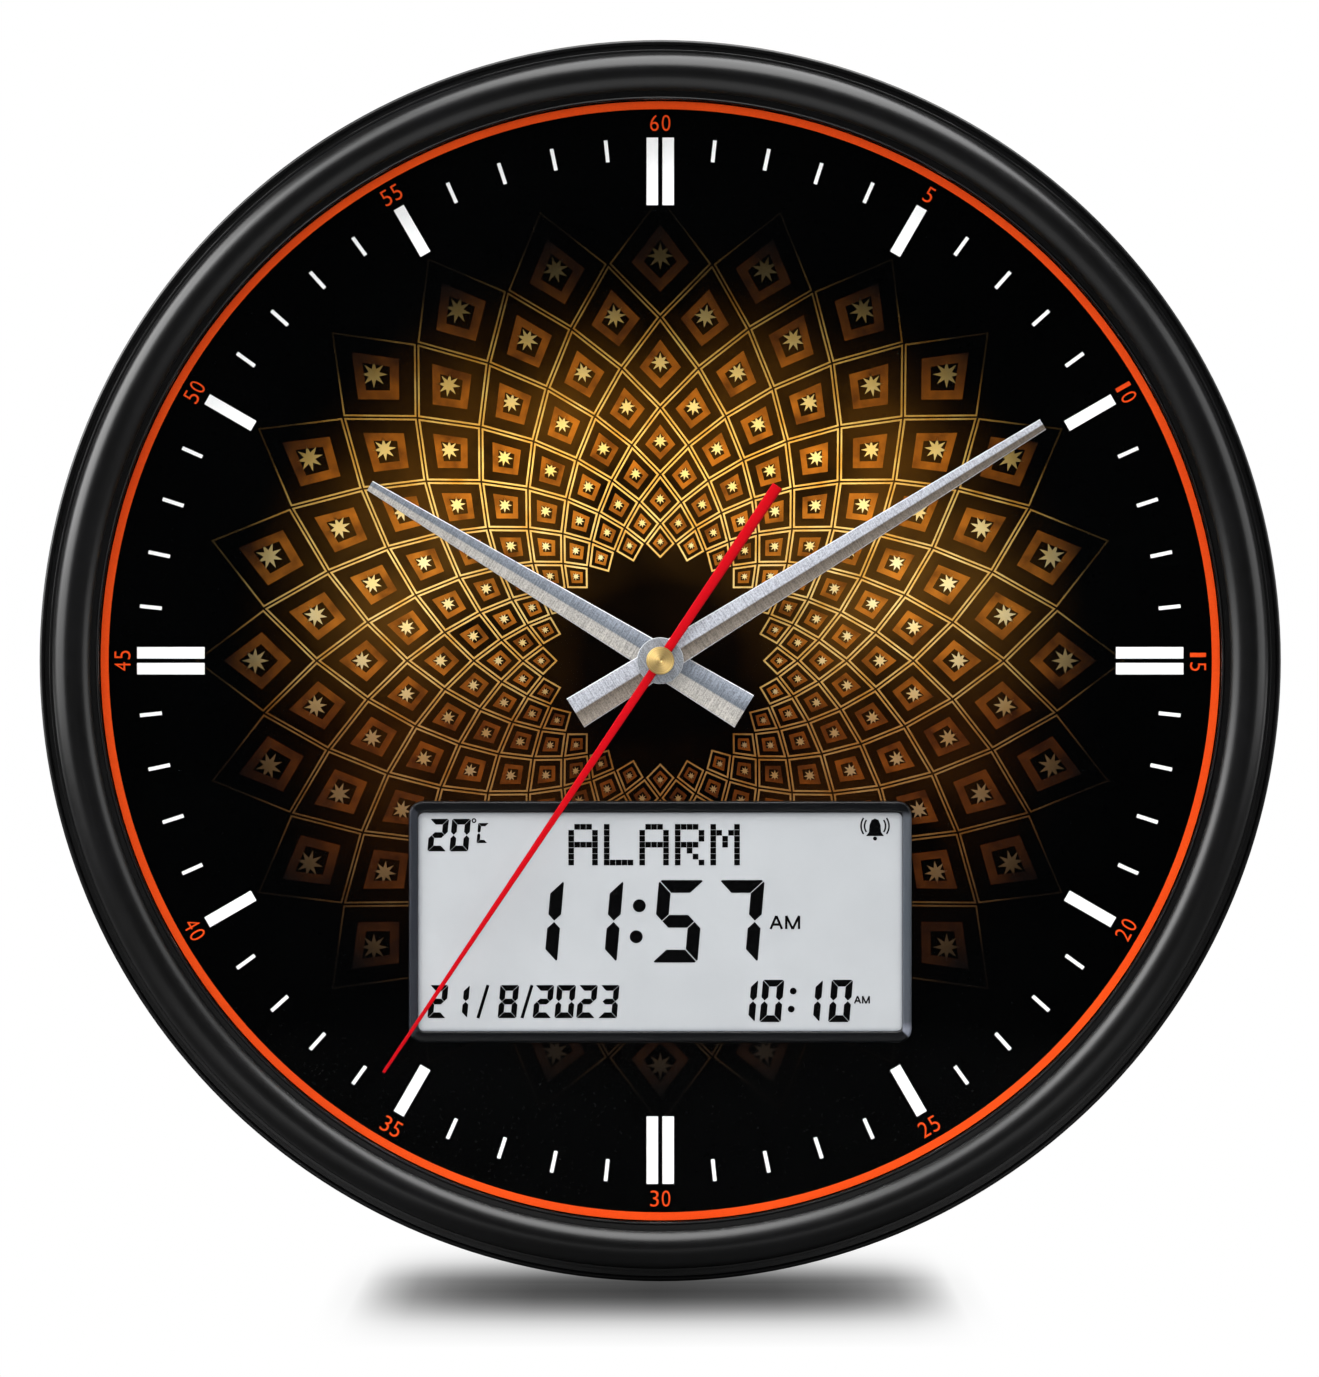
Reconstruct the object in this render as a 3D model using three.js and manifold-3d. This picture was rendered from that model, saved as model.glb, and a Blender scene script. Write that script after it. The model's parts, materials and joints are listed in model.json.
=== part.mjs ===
// Round wall clock that calls the prayer times: a moulded frame, a flat lens, a dial with three
// hands on a quartz movement, a segment display, a speaker, a battery box and a rear cover.
// Millimetres, +Z up. The clock faces -Y and its flat back lies on the wall plane y = 0.
// Inside the clock group, x runs right, y runs up and z is the depth in front of the wall.
// The origin is on the axis of the hands, at the wall plane.

import * as THREE from "three";
import { mergeVertices } from "three/addons/utils/BufferGeometryUtils.js";
import Module from "manifold-3d";

const wasm = await Module();
wasm.setup();

// Clearances
const seatGap = 0.3;
const runGap = 0.25;
const frameFit = 0.4;
const cutOverrun = 1;
const mergeReach = 0.001;

// How many flat sides stand for a circle
const frameSides = 48;
const wideSides = 16;
const smallSides = 8;
const cornerSteps = 2;
const archSteps = 2;
const beadSteps = 3;
const rollSteps = 7;
const cellSides = 12;

// Rear cover
const coverFloor = 3.2;
const coverChamfer = 1.2;
const rimWall = 2.4;

// Frame, read outwards from the clear opening
const openingRadius = 149;
const lensLap = 3;
const rimWidth = 16;
const pocketWall = 2.2;
const lipBeadWidth = 0.9;
const lipBeadHeight = 0.8;
const lipThickness = 1.0;
const innerGrooveWidth = 1.2;
const rollHeight = 5.3;
const rollSink = 0.4;
const roofThickness = 3.0;
const ledgeWidth = 0.8;
const ledgeDrop = 1.2;
const outerGrooveWidth = 1.3;
const outerGrooveDrop = 2.6;
const outerBeadRadius = 0.7;
const sideTaper = 4;

// Cover screws and the bosses that they bite
const screwCount = 6;
const screwHeadRadius = 2.6;
const screwHeadHeight = 1.5;
const screwHeadSink = 0.3;
const screwShankRadius = 1.3;
const screwShankLength = 11;
const screwPointLength = 1.6;
const bossSkin = 0.8;
const bossHeight = 14;
const screwTurnShare = 1 / 12;

// Dial, lens and the room between them
const dialThickness = 1.2;
const spacerWall = 2.4;
const lensThickness = 2;
const lensRoom = 0.8;

// Movement case
const knobRoom = 4.3;
const movementWidth = 56;
const movementCorner = 3;
const caseWall = 1.5;
const casePostRadius = 2.2;
const casePostInset = 3.4;
const pivotRoom = 0.6;
const washerThickness = 0.6;
const washerRadius = 9;
const nutThickness = 2;
const nutRadius = 5.8;
const nutSides = 6;
const postProud = 0.4;
const postWall = 1.15;

// Layers of the gear train
const wheelThickness = 0.8;
const pinionLap = 0.2;
const layerGap = 0.8;
const plateGap = 0.6;
const plateThickness = 0.8;
const cannonHubLength = 0.9;
const motionGap = 1.1;
const frontRoom = 1.0;

// Teeth: a wheel and the pinion that drives it share one module
const rotorModule = 0.373;
const secondModule = 0.48;
const thirdModule = 0.426;
const motionModule = 0.75;
const pinionTeeth = 6;
const intermediateTeeth = 36;
const secondTeeth = 30;
const thirdTeeth = 45;
const centreTeeth = 48;
const cannonTeeth = 8;
const minuteTeeth = 24;
const hourTeeth = 24;
const addendumShare = 0.8;
const dedendumShare = 1.05;
const toothTipShare = 0.2;
const toothRootShare = 0.58;
const thirdDirection = Math.PI / 4;
const rotorDirection = (Math.PI * 2) / 3;

// Arbors and pipes
const secondArborRadius = 0.6;
const trainArborRadius = 0.6;
const setArborRadius = 1.2;
const pivotDepth = 0.5;
const cannonWall = 0.75;
const hourWall = 0.65;
const centreHubWall = 0.45;

// Rotor, stator and coil
const rotorRadius = 3;
const rotorLength = 2.6;
const rotorAirGap = 0.4;
const statorThickness = 0.8;
const statorRing = 2;
const statorBar = 2;
const statorReach = 9.4;
const statorHeight = 21.6;
const coilRadius = 2.7;
const coilWindingRadius = 2.3;
const coilFlange = 0.8;
const coilLength = 16;
const pillarRadius = 1.1;

// Board of the movement
const movementBoardWidth = 20;
const movementBoardHeight = 9;
const movementBoardThickness = 1;
const movementBoardInset = 1.6;
const blobRadius = 2.6;
const blobHeight = 0.9;
const blobTopShare = 0.55;

// Setting knob
const knobRadius = 5.5;
const knobHoleGap = 1;
const knobSink = 1;
const knobGrips = 14;
const knobGripShare = 0.9;
const knobDish = 1.2;
const knobDishShare = 0.7;
const knobCap = 1.2;

// Hands: tip and tail are measured from the axis, and a tip's gap from the ring round the dial
const handRidge = 1.1;
const handEdge = 0.45;
const colletLength = 0.5;
const colletWall = 1.3;
const hourTip = 90.3;
const hourTail = 26.1;
const hourTipWidth = 2.9;
const hourTailWidth = 10.05;
const hourHubRadius = 5.8;
const minuteTipGap = 29.9;
const minuteTail = 26.5;
const minuteTipWidth = 3.2;
const minuteTailWidth = 9;
const minuteHubRadius = 6.2;
const secondTipGap = 17.6;
const secondTail = 56;
const secondTipWidth = 0.8;
const secondHubWidth = 2.35;
const secondTailWidth = 3;
const secondThickness = 0.4;
const secondHubRadius = 3.2;
const secondLift = 0.6;
const capRadius = 3.7;
const capEdge = 0.5;
const capHeight = 2.2;
const capTopRadius = 1.3;
const capCover = 0.6;

// Where the hands stand, clockwise from twelve
const hourAngle = THREE.MathUtils.degToRad(301.1);
const minuteAngle = THREE.MathUtils.degToRad(58.3);
const secondAngle = THREE.MathUtils.degToRad(213.9);

// Display
const displayDrop = 69.6;
const displayWidth = 134;
const displayHeight = 64.4;
const displayCorner = 3.7;
const sideBar = 2.5;
const endBar = 3.1;
const windowCorner = 1.6;
const flangeThickness = 1.5;
const flangeChamfer = 0.9;
const flangeLap = 0.8;
const sleeveWall = 0.9;
const windowLip = 0.9;
const glassThickness = 1.1;
const contactLedge = 3.2;
const stripWidth = 2;
const stripMargin = 6.7;
const hookCount = 2;
const hookWidth = 8;
const hookReach = 0.9;
const hookThickness = 0.6;
const stakeRadius = 1;
const stakeProud = 0.7;
const padWidth = 3.6;

// Main board with its switches
const boardThickness = 1.6;
const boardGap = 0.5;
const switchSide = 6;
const switchHeight = 3.5;
const plungerRadius = 1.7;
const plungerHeight = 1;
const chipSide = 14;
const chipHeight = 1.2;
const solderSink = 0.2;

// Buttons on the back
const buttonCount = 5;
const buttonPitch = 20;
const buttonDrop = 88;
const buttonRadius = 3.2;
const buttonSink = 0.6;
const buttonFlangeRadius = 4.4;
const buttonFlange = 1;
const buttonStemRadius = 1.8;
const buttonTravel = 0.8;
const buttonRound = 0.6;

// Speaker
const speakerX = -85;
const speakerY = 20;
const speakerRadius = 25;
const speakerFlange = 0.8;
const speakerFlangeWidth = 2.6;
const speakerDepth = 9.3;
const speakerThroatRadius = 13.6;
const voiceHoleRadius = 4;
const coneSkin = 0.6;
const dustCapRadius = 7;
const dustCapRise = 1.4;
const magnetRadius = 11;
const magnetHeight = 5.6;
const speakerRingWall = 1.5;
const speakerRingHeight = 1.2;
const slotCount = 6;
const slotWidth = 3;
const slotPitch = 6.4;
const slotMargin = 5.5;

// Battery box
const boxX = 85;
const boxY = 10;
const cellCount = 3;
const cellRadius = 7.2;
const cellLength = 49.5;
const cellGap = 0.6;
const cellEdge = 0.6;
const nippleRadius = 2.7;
const nippleHeight = 1;
const boxWall = 1.6;
const boxCorner = 2;
const springRoom = 4.4;
const contactRoom = 1.7;
const contactThickness = 0.4;
const contactHeight = 8;
const contactWidth = 10;
const springRadius = 3.4;
const springWire = 0.35;
const springTurns = 2.5;
const springSides = 5;
const springSteps = 8;
const dimpleRadius = 2.2;
const dimpleTopShare = 0.8;
const tagWidth = 3;
const tagProud = 1.6;
const doorThickness = 2;
const doorGrooveCount = 3;
const doorGrooveDepth = 0.5;
const doorGrooveWidth = 1;
const doorGroovePitch = 2.6;
const doorGrooveLength = 14;
const notchRadius = 7;
const notchDepth = 1.3;
const tabWidth = 3;
const tabReach = 2;
const tabThickness = 1.2;
const tabNeck = 1.5;

// Hanger
const hangerRimGap = 18.6;
const keyholeRadius = 4.8;
const keySlotLength = 9;
const keySlotRadius = 2.4;
const keyWindowMargin = 1.4;
const hangerWidth = 44;
const hangerHeight = 28;
const hangerCorner = 4;
const hangerThickness = 1.2;
const hangerRise = 5;
const hangerStakeRadius = 1.5;
const hangerStakeInset = 5;

// Leads inside the case
const leadRadius = 0.8;
const leadSides = 8;
const leadSteps = 11;

// Depths of the layers, worked out from the wall to the front
const movementBack = coverFloor + knobRoom;
const innerBack = movementBack + caseWall;
const layerOne = innerBack + pivotRoom;
const layerTwo = layerOne + wheelThickness + layerGap;
const layerThree = layerTwo + wheelThickness + layerGap;
const plateBack = layerThree + wheelThickness + plateGap;
const plateFront = plateBack + plateThickness;
const layerFour = plateFront + plateGap;
const cannonBack = layerFour + wheelThickness + seatGap;
const layerFive = cannonBack + cannonHubLength;
const layerSix = layerFive + wheelThickness + motionGap;
const innerFront = layerSix + wheelThickness + frontRoom;
const movementFront = innerFront + caseWall;
const washerBack = movementFront + seatGap;
const dialBack = washerBack + washerThickness + seatGap;
const dialFront = dialBack + dialThickness;
const nutBack = dialFront + seatGap;
const nutFront = nutBack + nutThickness;
const postFront = nutFront + postProud;
const hourColletBack = postFront + seatGap;
const hourBladeBack = hourColletBack + colletLength;
const hourFront = hourBladeBack + handRidge;
const minuteColletBack = hourFront + seatGap;
const minuteBladeBack = minuteColletBack + colletLength;
const minuteFront = minuteBladeBack + handRidge;
const secondBack = minuteFront + secondLift;
const secondFront = secondBack + secondThickness;
const capBack = secondFront + seatGap;
const capFront = capBack + capHeight;
const spacerBack = dialFront + seatGap;
const spacerFront = capFront + lensRoom;
const lensBack = spacerFront + seatGap;
const lensFront = lensBack + lensThickness;
const lipBack = lensFront + seatGap;
const frameBack = coverFloor + seatGap;

// Radii of the frame and of what it holds
const frameRadius = openingRadius + rimWidth;
const rearRadius = frameRadius - sideTaper;
const lensRadius = openingRadius + lensLap;
const pocketRadius = lensRadius + frameFit;
const pocketOuter = pocketRadius + pocketWall;
const rollInner = openingRadius + lipBeadWidth + innerGrooveWidth;
const rollOuter = frameRadius - outerBeadRadius * 2 - outerGrooveWidth - ledgeWidth;
const shellInner = rollOuter - pocketWall;
const rollMiddle = (rollInner + rollOuter) / 2;
const rollHalf = (rollOuter - rollInner) / 2;
const rollDepth = lipBack - rollSink;
const ledgeDepth = rollDepth - ledgeDrop;
const outerGrooveDepth = ledgeDepth - outerGrooveDrop;
const coverRadius = rearRadius - frameFit;
const rimRadius = pocketRadius - frameFit;
const spacerBore = lensRadius - spacerWall;
const minuteTip = spacerBore - minuteTipGap;
const secondTip = spacerBore - secondTipGap;
const bossCircle = (rearRadius + pocketRadius) / 2;
const bossRadius = (rearRadius - pocketRadius) / 2 - bossSkin;

// Radii of the pipes, each running inside the next
const cannonBore = secondArborRadius + runGap;
const cannonRadius = cannonBore + cannonWall;
const hourBore = cannonRadius + runGap;
const hourRadius = hourBore + hourWall;
const postBore = hourRadius + runGap;
const postRadius = postBore + postWall;

// A polar point in the plane of the dial
function polar(radius, angle, x = 0, y = 0) {
  return new THREE.Vector2(x + radius * Math.cos(angle), y + radius * Math.sin(angle));
}

// A closed geometry as a solid that can be joined and cut
function solidOf(geometry) {
  const bare = geometry.clone();
  bare.deleteAttribute("normal");
  bare.deleteAttribute("uv");
  const merged = mergeVertices(bare);
  const vertProperties = new Float32Array(merged.attributes.position.array);
  const triVerts = new Uint32Array(merged.index.array);
  return new wasm.Manifold(new wasm.Mesh({ numProp: 3, vertProperties, triVerts }));
}

function geometryOf(solid) {
  const { vertProperties, triVerts } = solid.getMesh();
  const geometry = new THREE.BufferGeometry();
  geometry.setAttribute("position", new THREE.BufferAttribute(vertProperties, 3));
  geometry.setIndex(new THREE.BufferAttribute(triVerts, 1));
  geometry.computeVertexNormals();
  return geometry;
}

// A profile of [radius, depth] points turned about the z axis
function turned(profile, sides) {
  const points = profile.map(([radius, depth]) => new THREE.Vector2(radius, depth));
  if (THREE.ShapeUtils.area(points) < 0) points.reverse();
  points.push(points[0].clone());
  return solidOf(new THREE.LatheGeometry(points, sides).rotateX(Math.PI / 2));
}

function disc(radius, from, to, sides = smallSides) {
  return turned([[0, from], [radius, from], [radius, to], [0, to]], sides);
}

function tube(bore, radius, from, to, sides = smallSides) {
  return turned([[bore, from], [radius, from], [radius, to], [bore, to]], sides);
}

// A flat outline given a thickness between two depths
function slab(shape, from, to) {
  const settings = { depth: to - from, bevelEnabled: false, curveSegments: cornerSteps };
  return solidOf(new THREE.ExtrudeGeometry(shape, settings).translate(0, 0, from));
}

function at(solid, x, y, z = 0) {
  return solid.translate([x, y, z]);
}

function roundedBox(width, height, radius, from, to) {
  const x = width / 2 - radius;
  const y = height / 2 - radius;
  const corners = [[x, y], [-x, y], [-x, -y], [x, -y]];
  const points = corners.flatMap(([cornerX, cornerY], quarter) => (
    Array.from({ length: cornerSteps + 1 }, (_, step) => (
      polar(radius, ((quarter + step / cornerSteps) * Math.PI) / 2, cornerX, cornerY)
    ))
  ));
  const distinct = points.filter((point, index) => point.distanceTo(points.at(index - 1)) > mergeReach);
  return slab(new THREE.Shape(distinct), from, to);
}

function block(width, height, from, to) {
  const geometry = new THREE.BoxGeometry(width, height, to - from);
  return solidOf(geometry.translate(0, 0, (from + to) / 2));
}

function join(first, ...others) {
  return others.reduce((whole, other) => whole.add(other), first);
}

function cut(first, ...tools) {
  return tools.reduce((whole, tool) => whole.subtract(tool), first);
}

// A body drawn through equal rows of points, closed at both ends
function loft(rows) {
  const count = rows[0].length;
  const positions = rows.flat().flatMap((point) => point.toArray());
  const faces = [];
  for (let row = 0; row + 1 < rows.length; row += 1) {
    for (let side = 0; side < count; side += 1) {
      const a = row * count + side;
      const b = row * count + ((side + 1) % count);
      faces.push(a, b + count, b, a, a + count, b + count);
    }
  }
  const last = (rows.length - 1) * count;
  for (let side = 1; side + 1 < count; side += 1) {
    faces.push(0, side, side + 1, last, last + side + 1, last + side);
  }
  const geometry = new THREE.BufferGeometry();
  geometry.setAttribute("position", new THREE.Float32BufferAttribute(positions, 3));
  geometry.setIndex(faces);
  return solidOf(geometry);
}

// A round wire along a curve
function wire(curve, radius, sides, steps) {
  const section = new THREE.Shape();
  const corners = Array.from({ length: sides }, (_, side) => polar(radius, (side / sides) * Math.PI * 2));
  section.setFromPoints(corners);
  return solidOf(new THREE.ExtrudeGeometry(section, { steps, extrudePath: curve, bevelEnabled: false }));
}

// The clock and its pieces
const clock = new THREE.Group();
clock.rotation.x = Math.PI / 2;

function addPiece(name, solid, color, roughness, metalness, x = 0, y = 0) {
  const material = new THREE.MeshStandardMaterial({ color, roughness, metalness });
  const mesh = new THREE.Mesh(geometryOf(solid), material);
  mesh.name = name;
  mesh.position.set(x, y, 0);
  clock.add(mesh);
  return mesh;
}

const blackPlastic = [0x0b0b0c, 0.12, 0];
const dullPlastic = [0x1b1c1e, 0.55, 0];
const whitePlastic = [0xdedcd2, 0.5, 0];
const steel = [0xb9bcc0, 0.3, 1];
const brass = [0xc9a24b, 0.3, 1];
const aluminium = [0xc6c8ca, 0.28, 1];
const circuitGreen = [0x1e5b35, 0.5, 0];

// Frame: a rolled front moulding over a pocket for the lens, the dial and the cover's rim
function arch(centre, half, base, height, start, end, steps) {
  return Array.from({ length: steps + 1 }, (_, step) => {
    const angle = start + ((end - start) * step) / steps;
    return [centre + half * Math.cos(angle), base + height * Math.sin(angle)];
  });
}

function frameProfile() {
  const archMiddle = (pocketOuter + shellInner) / 2;
  const archHalf = (shellInner - pocketOuter) / 2;
  const archHeight = rollDepth + rollHeight - roofThickness - ledgeDepth;
  const grooveFloor = lipBack + lipThickness;
  const rollStart = Math.PI - Math.asin((grooveFloor - rollDepth) / rollHeight);
  const beadMiddle = frameRadius - outerBeadRadius;
  return [
    [pocketRadius, frameBack],
    [pocketOuter, frameBack],
    ...arch(archMiddle, archHalf, ledgeDepth, archHeight, Math.PI, 0, archSteps),
    [rearRadius - pocketWall, frameBack],
    [rearRadius, frameBack],
    ...arch(beadMiddle, outerBeadRadius, outerGrooveDepth, outerBeadRadius, 0, Math.PI, beadSteps),
    [rollOuter + ledgeWidth, outerGrooveDepth],
    [rollOuter + ledgeWidth, ledgeDepth],
    [rollOuter, ledgeDepth],
    ...arch(rollMiddle, rollHalf, rollDepth, rollHeight, 0, rollStart, rollSteps),
    [openingRadius + lipBeadWidth, grooveFloor],
    [openingRadius + lipBeadWidth / 2, grooveFloor + lipBeadHeight],
    [openingRadius, grooveFloor],
    [openingRadius, lipBack],
    [pocketRadius, lipBack],
  ];
}

const screwPlaces = Array.from({ length: screwCount }, (_, index) => (
  polar(bossCircle, (index / screwCount + screwTurnShare) * Math.PI * 2)
));

function makeFrame() {
  const shell = turned(frameProfile(), frameSides);
  const bossFront = frameBack + bossHeight;
  const bosses = screwPlaces.map(({ x, y }) => at(disc(bossRadius, frameBack, bossFront), x, y));
  const pilot = screwShankRadius + seatGap;
  const holes = screwPlaces.map(({ x, y }) => (
    at(disc(pilot, frameBack - cutOverrun, bossFront - bossSkin), x, y)
  ));
  return cut(join(shell, ...bosses), ...holes);
}
addPiece("bezel", makeFrame(), ...blackPlastic);

// Lens, and the ring that holds it off the dial
addPiece("lens", disc(lensRadius, lensBack, lensFront, frameSides), 0xf2f6f8, 0.02, 0);
addPiece("spacer_ring",
  tube(spacerBore, lensRadius, spacerBack, spacerFront, frameSides), ...blackPlastic);

// Display opening in the dial, and the sleeve that passes it
const windowWidth = displayWidth - sideBar * 2;
const windowHeight = displayHeight - endBar * 2;
const openingWidth = displayWidth - flangeLap * 2;
const openingHeight = displayHeight - flangeLap * 2;
const sleeveWidth = openingWidth - seatGap * 2;
const sleeveHeight = openingHeight - seatGap * 2;
const glassWidth = sleeveWidth - (sleeveWall + seatGap) * 2;
const glassHeight = sleeveHeight - (sleeveWall + seatGap) * 2;
const flangeBack = dialFront + seatGap;
const flangeFront = flangeBack + flangeThickness;
const glassFront = flangeFront - windowLip - seatGap;
const rearGlassFront = glassFront - glassThickness - seatGap;
const rearGlassBack = rearGlassFront - glassThickness;
const boardFront = rearGlassBack - boardGap;
const boardBack = boardFront - boardThickness;
const sleeveBack = boardFront + seatGap;

function makeDial() {
  const plate = disc(lensRadius, dialBack, dialFront, frameSides);
  const centreHole = disc(postRadius + seatGap, dialBack - cutOverrun, dialFront + cutOverrun, wideSides);
  const opening = roundedBox(openingWidth, openingHeight, displayCorner - flangeLap,
    dialBack - cutOverrun, dialFront + cutOverrun);
  return cut(plate, centreHole, at(opening, 0, -displayDrop));
}
addPiece("dial", makeDial(), 0x0d0d0f, 0.45, 0);

// Corners and stakes of the display frame, shared with the board's holes
const padX = glassWidth / 2 + seatGap - padWidth / 2;
const padY = glassHeight / 2 + seatGap - contactLedge / 2;
const padPlaces = [[padX, padY], [-padX, padY], [-padX, -padY], [padX, -padY]];
const stakePlaces = padPlaces.map(([x, y]) => [x, y + Math.sign(y) * seatGap / 2]);

function makeDisplayFrame() {
  const flangeStep = flangeFront - flangeChamfer;
  const lower = roundedBox(displayWidth, displayHeight, displayCorner, flangeBack, flangeStep);
  const inset = flangeChamfer / 2;
  const upper = roundedBox(displayWidth - inset * 2, displayHeight - inset * 2, displayCorner - inset,
    flangeStep, flangeFront);
  const sleeveCorner = displayCorner - flangeLap - seatGap;
  const sleeve = roundedBox(sleeveWidth, sleeveHeight, sleeveCorner, sleeveBack, flangeStep);
  const hollow = roundedBox(sleeveWidth - sleeveWall * 2, sleeveHeight - sleeveWall * 2, windowCorner / 2,
    sleeveBack - cutOverrun, flangeFront - windowLip);
  const window = roundedBox(windowWidth, windowHeight, windowCorner, sleeveBack, flangeFront + cutOverrun);
  const hookX = sleeveWidth / (hookCount + 1);
  const hooks = [-1, 1].flatMap((side) => Array.from({ length: hookCount }, (_, index) => at(
    block(hookWidth, sleeveWall + hookReach, sleeveBack, sleeveBack + hookThickness),
    (index - (hookCount - 1) / 2) * hookX,
    side * (sleeveHeight / 2 + (hookReach - sleeveWall) / 2),
  )));
  const pads = padPlaces.map(([x, y]) => at(
    block(padWidth + sleeveWall, contactLedge - seatGap + sleeveWall, sleeveBack, rearGlassFront),
    x + Math.sign(x) * sleeveWall / 2,
    y + Math.sign(y) * (sleeveWall + seatGap) / 2,
  ).intersect(sleeve));
  const stakes = stakePlaces.map(([x, y]) => at(
    disc(stakeRadius, boardBack - stakeProud, rearGlassFront - solderSink), x, y));
  return join(cut(join(lower, upper, sleeve), hollow, window), ...hooks, ...pads, ...stakes);
}
addPiece("lcd_frame", makeDisplayFrame(), ...blackPlastic, 0, -displayDrop);

// Display glasses, and the rubber strips that carry the contacts to the board
const rearGlassHeight = glassHeight - contactLedge * 2;
const stripY = glassHeight / 2 - contactLedge / 2;
const stripLength = glassWidth - stripMargin * 2;
addPiece("lcd_front_glass", block(glassWidth, glassHeight, glassFront - glassThickness, glassFront),
  0xc8cdd0, 0.08, 0, 0, -displayDrop);
addPiece("lcd_rear_glass", block(glassWidth, rearGlassHeight, rearGlassBack, rearGlassFront),
  0xb4babd, 0.1, 0, 0, -displayDrop);
const stripFront = glassFront - glassThickness - seatGap;
for (const [name, side] of [["contact_strip_upper", 1], ["contact_strip_lower", -1]]) {
  addPiece(name, block(stripLength, stripWidth, boardFront + seatGap, stripFront),
    0xd8d2c8, 0.8, 0, 0, -displayDrop + side * stripY);
}

// Main board, with the switches under the buttons and the clock chip
const buttonPlaces = Array.from({ length: buttonCount }, (_, index) => (
  [(index - (buttonCount - 1) / 2) * buttonPitch, -buttonDrop]
));
const switchBack = boardBack - switchHeight;
const plungerBack = switchBack - plungerHeight;

function makeMainBoard() {
  const plate = block(sleeveWidth, sleeveHeight, boardBack, boardFront);
  const holes = stakePlaces.map(([x, y]) => at(
    disc(stakeRadius + seatGap, boardBack - cutOverrun, boardFront + cutOverrun), x, y));
  const switches = buttonPlaces.flatMap(([x, y]) => [
    at(block(switchSide, switchSide, switchBack, boardBack + solderSink), x, y + displayDrop),
    at(disc(plungerRadius, plungerBack, switchBack + solderSink), x, y + displayDrop),
  ]);
  const chip = block(chipSide, chipSide, boardBack - chipHeight, boardBack + solderSink);
  return join(cut(plate, ...holes), ...switches, chip);
}
addPiece("main_board", makeMainBoard(), ...circuitGreen, 0, -displayDrop);

// Buttons: a rounded cap in the cover, a flange that keeps it in and a stem to its switch
function makeButton() {
  const flangeAt = coverFloor + seatGap;
  const stemFront = plungerBack - buttonTravel - seatGap / 2;
  return turned([
    [0, buttonSink], [buttonRadius - buttonRound, buttonSink], [buttonRadius, buttonSink + buttonRound],
    [buttonRadius, flangeAt], [buttonFlangeRadius, flangeAt], [buttonFlangeRadius, flangeAt + buttonFlange],
    [buttonStemRadius, flangeAt + buttonFlange], [buttonStemRadius, stemFront], [0, stemFront],
  ], smallSides);
}
buttonPlaces.forEach(([x, y], index) => {
  addPiece(`button_${index + 1}`, makeButton(), ...whitePlastic, x, y);
});

// Speaker: basket, paper cone with its dust cap, and magnet
const speakerBack = coverFloor + seatGap;
const throatBack = speakerBack + speakerDepth - speakerFlange;
const mouthRadius = speakerRadius - speakerFlangeWidth;

function makeBasket() {
  return turned([
    [speakerRadius, speakerBack], [speakerRadius, speakerBack + speakerFlange],
    [mouthRadius + speakerFlange, speakerBack + speakerFlange],
    [speakerThroatRadius, throatBack + speakerFlange], [voiceHoleRadius, throatBack + speakerFlange],
    [voiceHoleRadius, throatBack], [speakerThroatRadius - speakerFlange, throatBack],
    [mouthRadius, speakerBack],
  ], wideSides);
}

function makeCone() {
  const rim = mouthRadius - coneSkin * 2;
  const rimBack = speakerBack + seatGap;
  const neckBack = throatBack - coneSkin * 2;
  return turned([
    [0, neckBack - dustCapRise - coneSkin], [dustCapRadius / 2, neckBack - dustCapRise],
    [dustCapRadius, neckBack - coneSkin], [rim, rimBack], [rim, rimBack + coneSkin],
    [dustCapRadius + coneSkin, neckBack + coneSkin / 2], [0, neckBack],
  ], wideSides);
}
const magnetBack = throatBack + speakerFlange + seatGap;
addPiece("speaker_basket", makeBasket(), ...steel, speakerX, speakerY);
addPiece("speaker_cone", makeCone(), 0x2a2826, 0.9, 0, speakerX, speakerY);
addPiece("speaker_magnet", disc(magnetRadius, magnetBack, magnetBack + magnetHeight, wideSides),
  0x3a3a3c, 0.5, 0.6, speakerX, speakerY);

// Battery box: sizes of the well that the cells lie in, with a spring at one end of each
const cellPitch = cellRadius * 2 + cellGap;
const wellWidth = cellPitch * cellCount + cellGap;
const wellHeight = springRoom + cellLength + nippleHeight + contactRoom;
const cellDepth = doorThickness + frameFit + cellRadius;
const wellFront = cellDepth + cellRadius + seatGap;
const doorWidth = wellWidth + boxWall * 2;
const doorHeight = wellHeight + boxWall * 2;
const ledgeBack = doorThickness + seatGap;
const doorTabX = [-cellPitch / 2, cellPitch / 2];
const tabSweep = Math.hypot(tabReach, coverFloor + seatGap + tabThickness) + seatGap;
const cellPlaces = Array.from({ length: cellCount }, (_, index) => (
  (index - (cellCount - 1) / 2) * cellPitch
));

function makeCell() {
  const length = cellLength;
  return turned([
    [0, 0], [cellRadius - cellEdge, 0], [cellRadius, cellEdge], [cellRadius, length - cellEdge],
    [cellRadius - cellEdge, length], [nippleRadius, length], [nippleRadius, length + nippleHeight],
    [0, length + nippleHeight],
  ], cellSides).rotate([-90, 0, 0]);
}

const wellBottom = boxY - wellHeight / 2;
const wellTop = boxY + wellHeight / 2;
const cellPointsUp = cellPlaces.map((_, index) => index % 2 === 0);
cellPlaces.forEach((x, index) => {
  const cell = addPiece(`cell_${index + 1}`, makeCell(), 0x2f5f9e, 0.35, 0.3, boxX + x, 0);
  cell.position.z = cellDepth;
  cell.position.y = cellPointsUp[index] ? wellBottom + springRoom : wellTop - springRoom;
  if (!cellPointsUp[index]) cell.rotation.z = Math.PI;
});

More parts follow.
